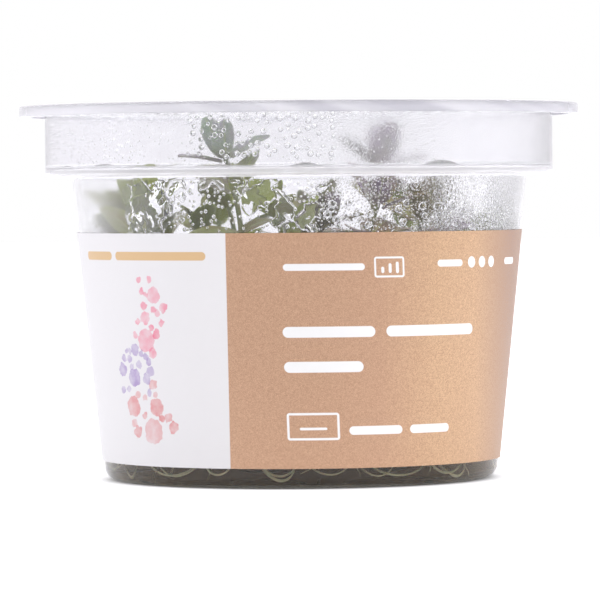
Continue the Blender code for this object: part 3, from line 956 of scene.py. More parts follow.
@dataclass
class Cup(Part):
    """The cup's wall, clear outside and fogged inside."""

    form: CupForm
    clear: Material
    fogged: Material
    wetted: Material
    cloudy: Material
    frosted: Material
    gel_top: float

    def build(self) -> None:
        """Turn the section round the axis, with a ring of points where the gel's top meets the wall."""
        form, margin = self.form, 0.01 * MM
        outside, inside = with_supports(form.outside(), 0.5 * MM), form.inside()
        ledge = max(index for index, (_, z) in enumerate(inside) if z > self.gel_top)
        inside.insert(ledge + 1, (form.body_radius(self.gel_top, form.wall), self.gel_top))
        section = np.concatenate((outside, with_supports(inside, 0.5 * MM)))
        middle = row_middles(section)[:, 1]
        within = np.arange(len(middle)) >= len(outside) - 1
        wetted = within & (section[1:-2, 1] < self.gel_top + margin)
        low, high = form.shoulder_underside - 0.3 * MM, form.ledge_top + form.collar_corner
        thick = ((middle > low) & (middle < high)) | (middle > form.flange_top - 0.7 * MM)
        slots = np.where(thick, 3, within.astype(int) + wetted)
        slots = np.where(middle < form.foot_recess + margin, 4, slots)
        finishes = (self.clear, self.fogged, self.wetted, self.cloudy, self.frosted)
        wall = turned_surface(section, form.segments, slots).build("cup_wall", *finishes)
        self.keep(wall, "clear_plastic", "cup")


@dataclass
class Lid(Part):
    """The press-on lid, with its sunk panel and the lip inside its skirt."""

    form: CupForm
    finish: Material
    panel_finish: Material
    radius: float = 50.6 * MM
    skirt_height: float = 2.0 * MM
    skirt_thickness: float = 0.65 * MM
    lip_reach: float = 0.75 * MM
    lip_thickness: float = 0.3 * MM
    panel_radius: float = 43.4 * MM
    panel_step: float = 0.8 * MM

    def section(self) -> Array:
        """The lid's section: out under the panel, round the lip and skirt, and back over the top.

        Returns:
            The section's points, one row each.
        """
        top, below, soft = self.form.lid_top, self.form.panel_underside, 0.15 * MM
        underside, foot = top - self.form.lid_thickness, top - self.skirt_height
        inside, lip = self.radius - self.skirt_thickness, foot + self.lip_thickness
        step_out = self.panel_radius + self.panel_step
        points = [
            (0.0, below),
            (self.panel_radius, below),
            (step_out, underside),
            *rounding(inside, underside, soft, 90.0, 0.0, 3),
            (inside, lip),
            *rounding(inside - self.lip_reach, lip, soft, 90.0, 270.0, 5),
            *rounding(self.radius, foot, 0.2 * MM, -90.0, 0.0, 3),
            *rounding(self.radius, top, 0.3 * MM, 0.0, 90.0, 5),
            *rounding(step_out, top, 0.2 * MM, 90.0, 135.0, 2),
            (self.panel_radius, top - self.form.panel_drop),
            (0.0, top - self.form.panel_drop),
        ]
        return with_supports(points, 0.4 * MM)

    def build(self) -> None:
        """Turn the section round the axis, with the sunk panel clearer than the rim."""
        section = self.section()
        sunk = row_middles(section)[:, 0] < self.panel_radius
        shell = turned_surface(section, self.form.segments, sunk.astype(int))
        self.keep(shell.build("lid_shell", self.finish, self.panel_finish), "lid_plastic", "lid")


@dataclass
class Label(Part):
    """The printed band, wrapped round part of the body."""

    form: CupForm
    print_finish: Material
    back_finish: Material
    bottom: float = 3.6 * MM
    top: float = 44.8 * MM
    thickness: float = 0.15 * MM
    standoff: float = 0.12 * MM
    start: float = -108.0
    span: float = 243.0
    seam: float = -18.5
    segments: int = 220
    rows: int = 6

    def build(self) -> None:
        """A thin sheet whose cross-section runs round the body, with mm along and up in its UV map."""
        bearing = np.radians(self.start + self.span * np.linspace(0.0, 1.0, self.segments + 1))[:, None]
        up = np.linspace(self.bottom, self.top, self.rows)
        height = np.concatenate((up, up[::-1]))[None, :]
        row = np.arange(2 * self.rows)
        offset = self.standoff + np.where(row < self.rows, 0.0, self.thickness)
        radius = self.form.body_radius(height) + offset
        rings = on_cup(bearing, radius, height)
        uv = pattern(radius * (bearing - math.radians(self.seam)), height) / MM
        surface = Surface()
        back = (row < self.rows - 1).astype(int)[None, :]
        surface.add_tubes(rings, rings[0].mean(axis=0), rings[-1].mean(axis=0), uv, slots=back)
        self.keep(surface.build("label_film", self.print_finish, self.back_finish), "label_paper", "label")


@dataclass(frozen=True)
class GelForm:
    """The driving sizes of the gel."""

    top: float = 11.0 * MM
    crown: float = 0.4 * MM
    gap: float = 0.03 * MM
    stem_depth: float = 5.0 * MM


@dataclass
class Gel(Part):
    """The disc of set gel, which meets the wall in a small rise."""

    cup: CupForm
    form: GelForm
    finish: Material

    def build(self) -> None:
        """Turn the gel's section, with a slow swell over its top."""
        cup, gap, top = self.cup, self.form.gap, self.form.top
        heel = cup.inner_heel_radius
        heel_x = cup.body_radius(cup.floor_top + heel, cup.wall + gap)
        edge = cup.body_radius(top, cup.wall + gap)
        shares = np.linspace(0.92, 0.0, 16)
        points = [
            (0.0, cup.floor_top + gap),
            *rounding(heel_x, cup.floor_top + gap, heel - gap, -90.0, -6.0, 8),
            (edge + cup.draft * 0.35 * MM, top + 0.35 * MM),
            (edge - 0.25 * MM, top + 0.1 * MM),
            (edge - 0.8 * MM, top),
            *((edge * share, top + self.form.crown * (1.0 - share**2)) for share in shares),
        ]
        disc = turned_surface(with_supports(points, 0.5 * MM), 192)
        self.keep(disc.build("gel_disc", self.finish), "culture_gel", "culture_gel")


@dataclass(frozen=True)
class ShootPlan:
    """Where one shoot grows: bearing in degrees, reach and tip height in mm, and its top pair's way.

    The crown is the size of its two upright tip leaves, and the opening the pitch of its top pair.
    """

    name: str
    bearing: float
    reach: float
    tip_height: float
    facing: float
    own_pairs: int
    crown: float
    opening: float
    purple: float


SHOOT_PLANS = (
    ShootPlan("front_left", -21.5, 35.5, 58.8, 118.0, 2, 0.76, 76.0, 0.34),
    ShootPlan("middle", 78.0, 15.0, 57.4, 108.0, 2, 0.82, 56.0, 0.80),
    ShootPlan("left", -80.0, 32.5, 49.0, 60.0, 2, 0.50, 34.0, 0.40),
    ShootPlan("left_front", -55.0, 34.5, 49.5, -32.0, 2, 0.66, 34.0, 0.08),
    ShootPlan("front", -8.0, 30.5, 49.0, 20.0, 2, 0.55, 44.0, 0.18),
    ShootPlan("front_right", 27.0, 31.0, 50.5, 75.0, 2, 0.60, 44.0, 0.85),
    ShootPlan("right_front", 47.0, 29.5, 47.5, 58.0, 2, 0.84, 70.0, 0.70),
    ShootPlan("right", 100.0, 30.5, 43.0, 30.0, 1, 0.42, 34.0, 0.35),
    ShootPlan("heart", -60.0, 15.0, 50.5, -25.0, 1, 0.70, 48.0, 0.10),
    ShootPlan("left_back", -112.0, 29.5, 50.5, 80.0, 1, 0.55, 40.0, 0.35),
    ShootPlan("back_left", -148.0, 28.5, 47.5, 10.0, 1, 0.50, 40.0, 0.10),
    ShootPlan("back", 176.0, 27.5, 48.0, 60.0, 1, 0.50, 40.0, 0.50),
    ShootPlan("back_right", 138.0, 29.5, 46.5, -25.0, 1, 0.50, 40.0, 0.25),
    ShootPlan("inner_front", 10.0, 23.5, 46.5, 70.0, 0, 0.64, 56.0, 0.80),
    ShootPlan("inner_left", -44.0, 25.0, 46.5, 15.0, 0, 0.55, 50.0, 0.30),
)


@dataclass(frozen=True)
class PlantForm:
    """The driving sizes of the shoots, the same as in the solids."""

    stem_radius: float = 0.65 * MM
    stem_taper: float = 0.35
    stem_sway: float = 1.4 * MM
    foot_share: float = 0.74
    leaf_length: float = 10.4 * MM
    leaf_width: float = 7.4 * MM
    leaf_thickness: float = 0.45 * MM
    leaf_base_share: float = 0.24
    leaf_fold: float = 0.16
    leaf_gap: float = 0.45 * MM
    fused_leaf_start: float = 0.25 * MM
    lowest_pair: float = 24.0 * MM
    top_pair_drop: float = 1.2 * MM
    internode_top: float = 4.4 * MM
    internode_growth: float = 1.4 * MM
    bud_pitch: float = 16.0
    bud_start: float = 0.32 * MM
    pair_forms: tuple = ((0.82, 34.0, 14.0), (1.0, 58.0, 26.0), (1.0, 70.0, 36.0), (0.94, 78.0, 42.0))
    tried_sizes: tuple = (1.0, 0.88, 0.76, 0.64, 0.52)
    tried_turns: tuple = (0.0, 14.0, -14.0, 28.0, -28.0, 42.0, -42.0)
    tried_tilts: tuple = (0.0, -10.0, 10.0, -20.0, 20.0, -30.0)
    steepest_pitch: float = 24.0
    leaf_clearance: float = 1.3 * MM
    wall_clearance: float = 0.9 * MM
    gel_clearance: float = 1.0 * MM
    lid_clearance: float = 1.0 * MM


@dataclass
class Blade:
    """One leaf blade: an oval that curls down over its length and folds up at its sides."""

    form: PlantForm
    base: Array
    axes: Array
    size: float
    curl: float
    purple: float = 0.0
    seed: int = 0

    def sheet(self, u: Array | float, v: Array | float, above: Array | float = 0.0) -> Array:
        """Points of the blade's middle surface, and over it.

        Args:
            u: from 0 at the base to 1 at the tip.
            v: from -1 to 1 across.
            above: how far over the middle surface a point lies.

        Returns:
            The points. Across, the half width is an oval that narrows to a share of itself at the
            base. Along, the blade is an arc of a circle. Its sides rise with the square of v.
        """
        form = self.form
        length = form.leaf_length * self.size
        oval = np.sin(math.pi * np.clip(u, 0.0, 1.0) ** 1.15) ** 0.52
        share = oval * (1.0 - form.leaf_base_share) + form.leaf_base_share * (1.0 - u)
        half_width = 0.5 * form.leaf_width * self.size * share
        along = length * np.sin(self.curl * u) / self.curl
        rise = form.leaf_fold * half_width * v * v - length * (1.0 - np.cos(self.curl * u)) / self.curl
        parts = np.broadcast_arrays(along, half_width * v, rise + above)
        return self.base + np.stack(parts, axis=-1) @ self.axes

    def samples(self) -> Array:
        """Points spread over the blade, less than the leaf clearance apart."""
        u, v = np.meshgrid(np.linspace(0.08, 0.98, 8), np.linspace(-0.9, 0.9, 6), indexing="ij")
        return self.sheet(u.ravel(), v.ravel())

    def add_to(self, surface: Surface, rows: int = 17, columns: int = 22) -> None:
        """Add the blade as a closed tube with a lens-shaped cross-section.

        A groove follows the midrib on the upper face, a ridge on the lower one, and the rim
        waves a little more the nearer it is to the tip.

        Args:
            surface: what it is added to.
            rows, columns: how many rings it has, and points on each.
        """
        u = (0.5 - 0.5 * np.cos(np.linspace(0.0, math.pi, rows + 1))[:-1])[:, None]
        angle = whole_turn(columns)[None, :]
        v = np.cos(angle)
        half = 0.5 * self.form.leaf_thickness * (0.62 + 0.38 * np.sqrt(np.clip(1.0 - u, 0.0, 1.0)))
        rib = np.exp(-((v / 0.13) ** 2))
        above = half * np.sin(angle) - 0.34 * half * rib * (1.0 - 0.6 * u)
        phase = 1.7 * self.seed
        wave = 0.10 * MM * np.sin(9.0 * u + phase) * v**3
        wave = wave + 0.07 * MM * np.sin(15.0 * u + 2.0 * phase + 2.0 * v) * v**2
        rings = self.sheet(u, v * (1.0 - 0.02 * (1.0 + np.sin(21.0 * u + phase))), above + wave * u)
        surface.add_tubes(rings, self.sheet(0.0, 0.0), self.sheet(1.0, 0.0), pattern(u, v), self.purple)


class Stem:
    """One shoot's stem. A place on it is a share t of its rise, from its foot in the gel."""

    def __init__(self, index: int, plan: ShootPlan, form: PlantForm, gel: GelForm) -> None:
        """Set the foot and the tip, and the side of the sway, which changes from shoot to shoot.

        Args:
            index: the stem's number among all.
            plan: where the shoot grows.
            form, gel: the driving sizes of the shoots and the gel.
        """
        self.plan = plan
        self.form = form
        self.facing = math.radians(plan.facing)
        outward = on_cup(math.radians(plan.bearing), 1.0, 0.0)
        self.foot = outward * plan.reach * MM * form.foot_share
        self.foot[2] = gel.top - gel.stem_depth
        self.tip = outward * plan.reach * MM
        self.tip[2] = plan.tip_height * MM
        side = 1.0 if index % 2 else -1.0
        self.sway = np.array((-outward[1], outward[0], 0.0)) * form.stem_sway * side

    def points(self, t: Array | float) -> Array:
        """The axis at t: it rises evenly, leans outwards and sways once to each side.

        Args:
            t: one or more places.

        Returns:
            A point for each.
        """
        t = np.asarray(t, dtype=float)[..., None]
        share = np.concatenate((t * np.abs(t), t * np.abs(t), t), axis=-1)
        return self.foot + (self.tip - self.foot) * share + self.sway * np.sin(math.tau * t)

    def directions(self, t: Array | float) -> Array:
        """The axis's direction at t."""
        return unit(self.points(t + 0.01) - self.points(t - 0.01))

    def pair_places(self) -> list[float]:
        """The places of the leaf pairs from the top one down, wider apart further down.

        Returns:
            Each pair's share t.
        """
        places = []
        height = self.tip[2] - self.form.top_pair_drop
        while height > self.form.lowest_pair:
            places.append((height - self.foot[2]) / (self.tip[2] - self.foot[2]))
            height -= self.form.internode_top + self.form.internode_growth * len(places)
        return places

    def leaf_frame(self, t: float, turn: float, pitch: float, start: float) -> tuple[Array, Array]:
        """Where a leaf grows and how it is turned.

        Args:
            t: its place on the stem.
            turn: its way round the stem, from the front.
            pitch: its lean away from the stem.
            start: how far from the axis it begins.

        Returns:
            Its base, and its axes: along the blade, across it, and out of its upper face.
        """
        up = self.directions(t)
        front = np.array((0.0, -1.0, 0.0))
        front = unit(front - up * front.dot(up))
        outward = front * math.cos(turn) + np.cross(up, front) * math.sin(turn)
        along = up * math.cos(pitch) + outward * math.sin(pitch)
        normal = up * math.sin(pitch) - outward * math.cos(pitch)
        return self.points(t) + outward * start, np.stack((along, np.cross(normal, along), normal))

    def bud(self) -> list[Blade]:
        """The two small upright leaves at the tip.

        Returns:
            The two leaves.
        """
        pitch, curl = math.radians(self.form.bud_pitch), math.radians(self.form.pair_forms[0][2])
        blades = []
        for side in range(2):
            turn = self.facing + 0.5 * math.pi + math.pi * side
            frame = self.leaf_frame(0.985, turn, pitch, self.form.bud_start)
            blades.append(Blade(self.form, *frame, self.plan.crown, curl, self.plan.purple, side))
        return blades

    def add_to(self, surface: Surface) -> None:
        """Add the stem as a tube that swells at its nodes and narrows between them.

        Args:
            surface: what it is added to.
        """
        t = np.linspace(0.0, 1.0, 64)
        centre = self.points(t)
        radius = self.form.stem_radius * (1.0 - self.form.stem_taper * t)
        for node in self.pair_places():
            radius = radius * (1.0 + 0.10 * np.exp(-(((t - node) / 0.012) ** 2)))
        rings = tube(centre, self.directions(t), (0.0, 1.0, 0.0), 0.96 * radius, 12)
        uv = pattern(t[:, None], np.ones((1, 12)))
        surface.add_tubes(rings, centre[0], centre[-1], uv, 0.35 * self.plan.purple, 1, 0)


class Thicket:
    """All shoots, and the same search for room for each leaf as made the solids."""

    def __init__(self, cup: CupForm, gel: GelForm, form: PlantForm) -> None:
        """Plant the stems, still without leaves.

        Args:
            cup, gel, form: the driving sizes of the cup, the gel and the shoots.
        """
        self.cup = cup
        self.gel = gel
        self.form = form
        self.stems = [Stem(index, plan, form, gel) for index, plan in enumerate(SHOOT_PLANS)]
        self.axes = {stem.plan.name: stem.points(np.linspace(0.0, 1.0, 60)) for stem in self.stems}
        self.taken = np.zeros((0, 3))
        self.leaves: list[tuple[Stem, int, str, Blade]] = []

    def room_for(self, samples: Array, blocked: Array) -> bool:
        """Whether a leaf has room.

        Args:
            samples: points of the leaf.
            blocked: points of the other stems and leaves.

        Returns:
            Whether the samples clear the cup, the gel, the lid and what is blocked.
        """
        cup, form = self.cup, self.form
        radius, height = np.hypot(samples[:, 0], samples[:, 1]), samples[:, 2]
        above = height > cup.ledge_top + form.wall_clearance
        body = cup.body_radius(height, cup.wall + form.wall_clearance)
        limit = np.where(above, cup.inner_collar - form.wall_clearance, body)
        if (radius > limit).any() or height.min() < self.gel.top + self.gel.crown + form.gel_clearance:
            return False
        if height.max() > cup.panel_underside - form.lid_clearance:
            return False
        distance = np.linalg.norm(samples[:, None, :] - blocked[None, :, :], axis=2)
        return distance.min() > form.leaf_clearance

    def find_place(self, stem: Stem, t: float, turn: float, pair_form: tuple, start: float) -> Blade | None:
        """Try one leaf's sizes, turns and tilts in order.

        Args:
            stem, t, turn, start: its stem, place, way and beginning, as in a leaf's frame.
            pair_form: its size, and its pitch and curl in degrees.

        Returns:
            The first form that has room, or None.
        """
        size, pitch, curl = pair_form
        form = self.form
        others = [points for name, points in self.axes.items() if name != stem.plan.name]
        blocked = np.concatenate(others + [self.taken])
        for shrink, extra, tilt in itertools.product(form.tried_sizes, form.tried_turns, form.tried_tilts):
            steep = math.radians(max(pitch + tilt, form.steepest_pitch))
            frame = stem.leaf_frame(t, turn + math.radians(extra), steep, start)
            blade = Blade(form, *frame, size * shrink, math.radians(curl))
            samples = blade.samples()
            if self.room_for(samples, blocked):
                self.taken = np.concatenate((self.taken, samples))
                return blade
        return None

    def grow(self) -> None:
        """Place every leaf, top pairs first, and give each its tint."""
        rng = np.random.default_rng(LEAVES_SEED)
        forms = self.form.pair_forms
        pairs = range(max(len(stem.pair_places()) for stem in self.stems))
        for pair, stem in itertools.product(pairs, self.stems):
            places = stem.pair_places()
            if pair >= len(places):
                continue
            own = pair < stem.plan.own_pairs
            start = self.form.stem_radius + self.form.leaf_gap if own else self.form.fused_leaf_start
            size, pitch, curl = forms[min(pair, len(forms) - 1)]
            pitch = pitch if pair else stem.plan.opening
            for side, letter in enumerate("ab"):
                turn = stem.facing + 0.5 * math.pi * pair + math.pi * side
                blade = self.find_place(stem, places[pair], turn, (size, pitch, curl), start)
                if blade is not None:
                    blade.purple = float(np.clip(stem.plan.purple + rng.normal(0.0, 0.24), 0.0, 1.0))
                    blade.seed = len(self.leaves)
                    self.leaves.append((stem, pair + 1, letter, blade))


@dataclass
class Plants(Part):
    """The shoots with their leaves, as pieces."""

    thicket: Thicket
    leaf_finish: Material
    stem_finish: Material

    def build(self) -> None:
        """One piece for each shoot's stem with its bud and fused leaves, and one for each own leaf."""
        self.thicket.grow()
        for stem in self.thicket.stems:
            name = stem.plan.name
            shoot = Surface()
            stem.add_to(shoot)
            for blade in stem.bud():
                blade.add_to(shoot, 11, 14)
            for owner, pair, letter, blade in self.thicket.leaves:
                if owner is not stem:
                    continue
                own = pair <= stem.plan.own_pairs
                leaf = Surface() if own else shoot
                blade.add_to(leaf)
                if own:
                    piece = leaf.build(f"{name}_blade_{pair}{letter}", self.leaf_finish)
                    self.keep(piece, "leaf", f"{name}_leaf_{pair}{letter}")
            piece = shoot.build(f"{name}_shoot", self.leaf_finish, self.stem_finish)
            self.keep(piece, "stem", f"{name}_stem")


@dataclass
class Roots(Part):
    """Pale roots in the gel: some sink from the stems' feet, and some hang in loops along the wall.

    The loops stand closest at the front left: each bearing is drawn towards it by a cosine of itself.
    """

    cup: CupForm
    gel: GelForm
    stems: list[Stem]
    finish: Material
    strands: int = 2
    loops: int = 25
    crowding: float = 0.45
    crowded_from: float = 0.90
    off_floor: float = 0.55 * MM
    off_wall: float = 0.80 * MM
    seed: int = 5

    def build(self) -> None:
        """Lay every root as a thin tube along a smooth curve."""
        rng = np.random.default_rng(self.seed)
        surface = Surface()
        for stem in self.stems:
            for _ in range(self.strands):
                self.add_strand(surface, self.sinking(stem, rng), rng.uniform(0.10, 0.15) * MM)
        for bearing in whole_turn(self.loops):
            crowded = bearing - self.crowding * math.cos(bearing - self.crowded_from)
            path = self.hanging(crowded + rng.normal(0.0, 0.09), rng)
            self.add_strand(surface, path, rng.uniform(0.16, 0.27) * MM)
        self.keep(surface.build("root_strands", self.finish), "stem")

    def sinking(self, stem: Stem, rng: Random) -> Array:
        """A quarter of an ellipse from a stem's foot outwards and down, which drifts round the cup.

        Args:
            stem: the stem.
            rng: where its random numbers come from.

        Returns:
            The root's path.
        """
        angle = np.linspace(0.0, 0.5 * math.pi, 22)
        start = stem.points(0.06)
        near = np.hypot(start[0], start[1])
        low = self.cup.floor_top + self.off_floor + rng.uniform(0.0, 2.5) * MM
        far = rng.uniform(0.86, 1.0) * (self.cup.body_radius(low, self.cup.wall) - self.off_wall)
        bearing = math.atan2(start[0], -start[1]) + rng.normal(0.0, 0.42) * np.sin(0.5 * angle) ** 1.5
        radius = near + (far - near) * np.sin(angle)
        return on_cup(bearing, radius, start[2] + (low - start[2]) * (1.0 - np.cos(angle)))

    def hanging(self, bearing: float, rng: Random) -> Array:
        """A loop along the wall: an arc of an ellipse, lowest in the middle, whose ends lean inwards.

        Args:
            bearing: where the loop hangs, in radians.
            rng: where its random numbers come from.

        Returns:
            The root's path.
        """
        angle = np.linspace(-rng.uniform(1.0, 1.9), rng.uniform(1.0, 1.9), 34)
        width, rise = rng.uniform(2.4, 7.0) * MM, rng.uniform(3.0, 7.0) * MM
        low = self.cup.floor_top + self.off_floor + rng.uniform(0.0, 1.0) * MM
        height = np.minimum(low + rise * (1.0 - np.cos(angle)), self.gel.top - 0.5 * MM)
        lean = rng.uniform(-0.5, 0.5) * (height - low)
        off = self.off_wall + rng.uniform(0.0, 0.9) * MM + 0.7 * MM * angle**2
        radius = self.cup.body_radius(height, self.cup.wall) - off
        return on_cup(bearing + (width * np.sin(angle) + lean) / self.cup.body_radius(height), radius, height)

    @staticmethod
    def add_strand(surface: Surface, centre: Array, thickness: float) -> None:
        """Add a tapering tube along a row of points.

        Args:
            surface: what the root is added to.
            centre: its path.
            thickness: its radius at the start.
        """
        taper = thickness * (1.0 - 0.45 * np.linspace(0.0, 1.0, len(centre)))
        rings = tube(centre, unit(np.gradient(centre, axis=0)), (0.13, 0.21, 1.0), taper, 6)
        surface.add_tubes(rings, centre[0], centre[-1])


class Rest(Enum):
    """What a drop sits on."""

    BODY = "the body's inner wall"
    COLLAR = "the collar's inner wall"
    LEDGE = "the shoulder's inner ledge"
    LID = "the lid's underside"


@dataclass(frozen=True)
class Dew:
    """A field of drops: where they sit, how many and how large, in degrees and mm.

    The contact is the angle at which a drop meets its face, and the stretch draws it out upwards.
    """

    name: str
    rest: Rest
    bearings: tuple[float, float]
    places: tuple[float, float]
    count: int
    radii: tuple[float, float]
    contact: float
    unevenness: float
    stretch: float
    columns: int
    rows: int
    seed: int


DEW_FIELDS = (
    Dew("window_beads", Rest.BODY, (36.0, 86.0), (45.2, 54.5), 1650, (0.13, 0.38), 74.0, 0.25, 1.2, 8, 3, 1),
    Dew("window_beads_middle", Rest.BODY, (2.0, 40.0), (45.2, 54.5), 700, (0.10, 0.24), 74.0, 0.15, 1.0, 8, 3, 12),
    Dew("window_beads_left", Rest.BODY, (-46.0, 4.0), (45.2, 54.6), 230, (0.10, 0.38), 78.0, 0.06, 1.0, 12, 4, 3),
    Dew("window_large", Rest.BODY, (5.0, 50.0), (45.6, 50.0), 24, (0.40, 0.80), 80.0, 0.08, 1.0, 28, 8, 13),
    Dew("collar_beads", Rest.COLLAR, (-26.0, 8.0), (57.5, 65.4), 78, (0.24, 0.55), 80.0, 0.02, 1.0, 24, 8, 4),
    Dew("collar_fine", Rest.COLLAR, (-66.0, 32.0), (57.0, 65.6), 330, (0.07, 0.18), 70.0, 0.03, 1.0, 7, 3, 5),
    Dew("ledge_puddles", Rest.LEDGE, (-80.0, 80.0), (42.4, 43.4), 0, (0.3, 2.3), 62.0, 0.12, 0.62, 32, 7, 6),
    Dew("body_back", Rest.BODY, (86.0, 278.0), (14.0, 54.4), 2000, (0.14, 0.55), 68.0, 0.10, 1.1, 7, 3, 7),
    Dew("body_front_low", Rest.BODY, (-82.0, 86.0), (13.0, 45.0), 700, (0.14, 0.50), 68.0, 0.10, 1.1, 7, 3, 8),
    Dew("collar_back", Rest.COLLAR, (72.0, 284.0), (57.0, 65.6), 360, (0.12, 0.45), 70.0, 0.05, 1.0, 8, 3, 9),
    Dew("lid_beads", Rest.LID, (-180.0, 180.0), (1.0, 42.5), 1000, (0.14, 0.60), 70.0, 0.06, 1.0, 9, 3, 10),
)

# Puddles on the ledge, seen through the collar: bearing in degrees, place and radius in mm
PUDDLES = (
    (-57.0, 43.0, 0.55), (-52.0, 43.3, 0.40), (-47.5, 43.0, 0.70), (-43.5, 43.2, 0.50), (-39.0, 42.9, 0.85),
    (-33.0, 43.2, 0.35), (1.5, 42.9, 1.80), (9.5, 43.2, 0.30), (13.0, 43.1, 0.42), (18.0, 43.2, 0.34),
    (35.0, 42.9, 2.30), (46.0, 43.2, 0.45), (50.5, 43.1, 0.80), (57.0, 43.0, 1.00), (66.0, 43.1, 0.60),
    (110.0, 43.0, 1.20), (150.0, 42.9, 1.60), (196.0, 43.0, 0.90), (238.0, 42.9, 1.90), (262.0, 43.0, 1.10),
)


@dataclass(frozen=True)
class Run:
    """Merged drops on the body's inner wall: where they gather, how many and how large.

    Bearings and their spread are in degrees, heights, their spread and the radii in mm. The lean
    is the share by which they are drawn out downwards.
    """

    bearing: float
    height: float
    spread: tuple[float, float]
    count: int
    radii: tuple[float, float]
    lean: float


RUNS = (
    Run(-43.5, 50.0, (2.8, 3.2), 7, (0.9, 1.6), 0.7),
    Run(-36.5, 51.5, (2.4, 2.4), 7, (0.6, 1.3), 0.3),
    Run(-30.5, 52.6, (2.4, 1.3), 7, (0.4, 1.0), 0.0),
    Run(-22.0, 53.7, (3.0, 0.6), 6, (0.3, 0.8), 0.0),
    Run(-15.5, 53.2, (1.4, 0.8), 6, (0.25, 0.55), 0.2),
    Run(-6.5, 50.6, (2.0, 2.2), 8, (0.6, 1.3), 0.2),
    Run(-0.5, 48.8, (2.6, 2.2), 9, (0.6, 1.2), 0.0),
    Run(6.0, 50.0, (3.0, 2.2), 5, (0.4, 0.8), 0.1),
    Run(13.0, 46.8, (5.0, 0.8), 5, (0.3, 0.6), 0.0),
)


@dataclass
class WindowFilm:
    """Patches of water on the clear band over the label, where many drops have run together."""

    cup: CupForm
    bearings: tuple[float, float] = (-52.0, 22.0)
    heights: tuple[float, float] = (44.9, 54.3)
    step: float = 0.1
    thickness: float = 0.70
    rim: float = 0.30
    seed: int = 21

    def spots(self) -> Array:
        """The merged drops, one row each: place round the wall and up it, radius and lean, in mm.

        Returns:
            The rows.
        """
        rng = np.random.default_rng(self.seed)
        rows = []
        for run in RUNS:
            across = np.radians(run.bearing + run.spread[0] * rng.normal(0.0, 1.0, run.count)) * WALL_MM
            up = run.height + run.spread[1] * rng.normal(0.0, 0.8, run.count)
            low, high = run.radii
            radius = low * (high / low) ** rng.uniform(0.0, 1.0, run.count)
            rows.append(np.stack((across, up, radius, np.full(run.count, run.lean)), axis=-1))
        return np.concatenate(rows)

    def depth(self, across: Array, up: Array) -> Array:
        """The film's thickness.

        The places are first stirred by slow waves. Each drop then adds a bell that falls to 0 at
        twice its radius, and where their sum is over the rim's value, the film is as thick as the
        square root of the rest.

        Args:
            across, up: places round the wall and up it, in mm.

        Returns:
            The thickness there in mm, and 0 where it is dry.
        """
        slow, quick = np.sin(1.9 * up + 0.9 * across), np.sin(5.3 * up - 2.2 * across)
        stirred_across = across + 0.32 * slow + 0.06 * quick
        slow, quick = np.sin(1.7 * across + 0.6 * up), np.sin(4.7 * across + 1.9 * up)
        stirred_up = up + 0.28 * slow + 0.06 * quick
        total = np.zeros_like(across)
        for centre, height, radius, lean in self.spots():
            drawn = 1.0 + np.maximum(height - stirred_up, 0.0) * lean
            far = (stirred_across - centre) ** 2 + ((stirred_up - height) / drawn) ** 2
            total += np.clip(1.0 - far / (2.0 * radius) ** 2, 0.0, None) ** 2 * radius**0.5
        return self.thickness * np.sqrt(np.clip(total - self.rim, 0.0, None))

    def surface(self) -> Surface:
        """The film's depth over an even grid of the wall, cut off at the grid's edge.

        Returns:
            The film.
        """
        low, high = (math.radians(value) * WALL_MM for value in self.bearings)
        across, up = np.arange(low, high, self.step), np.arange(*self.heights, self.step)
        across, up = np.meshgrid(across, up, indexing="ij")
        depth = self.depth(across, up)
        depth[[0, -1], :] = 0.0
        depth[:, [0, -1]] = 0.0
        bearing, height = across / WALL_MM, up * MM
        wall = self.cup.body_radius(height, self.cup.wall) - Condensation.lift
        film = Surface()
        film.add_film(on_cup(bearing, wall - depth * MM, height), on_cup(bearing, wall, height), depth > 0.0)
        return film


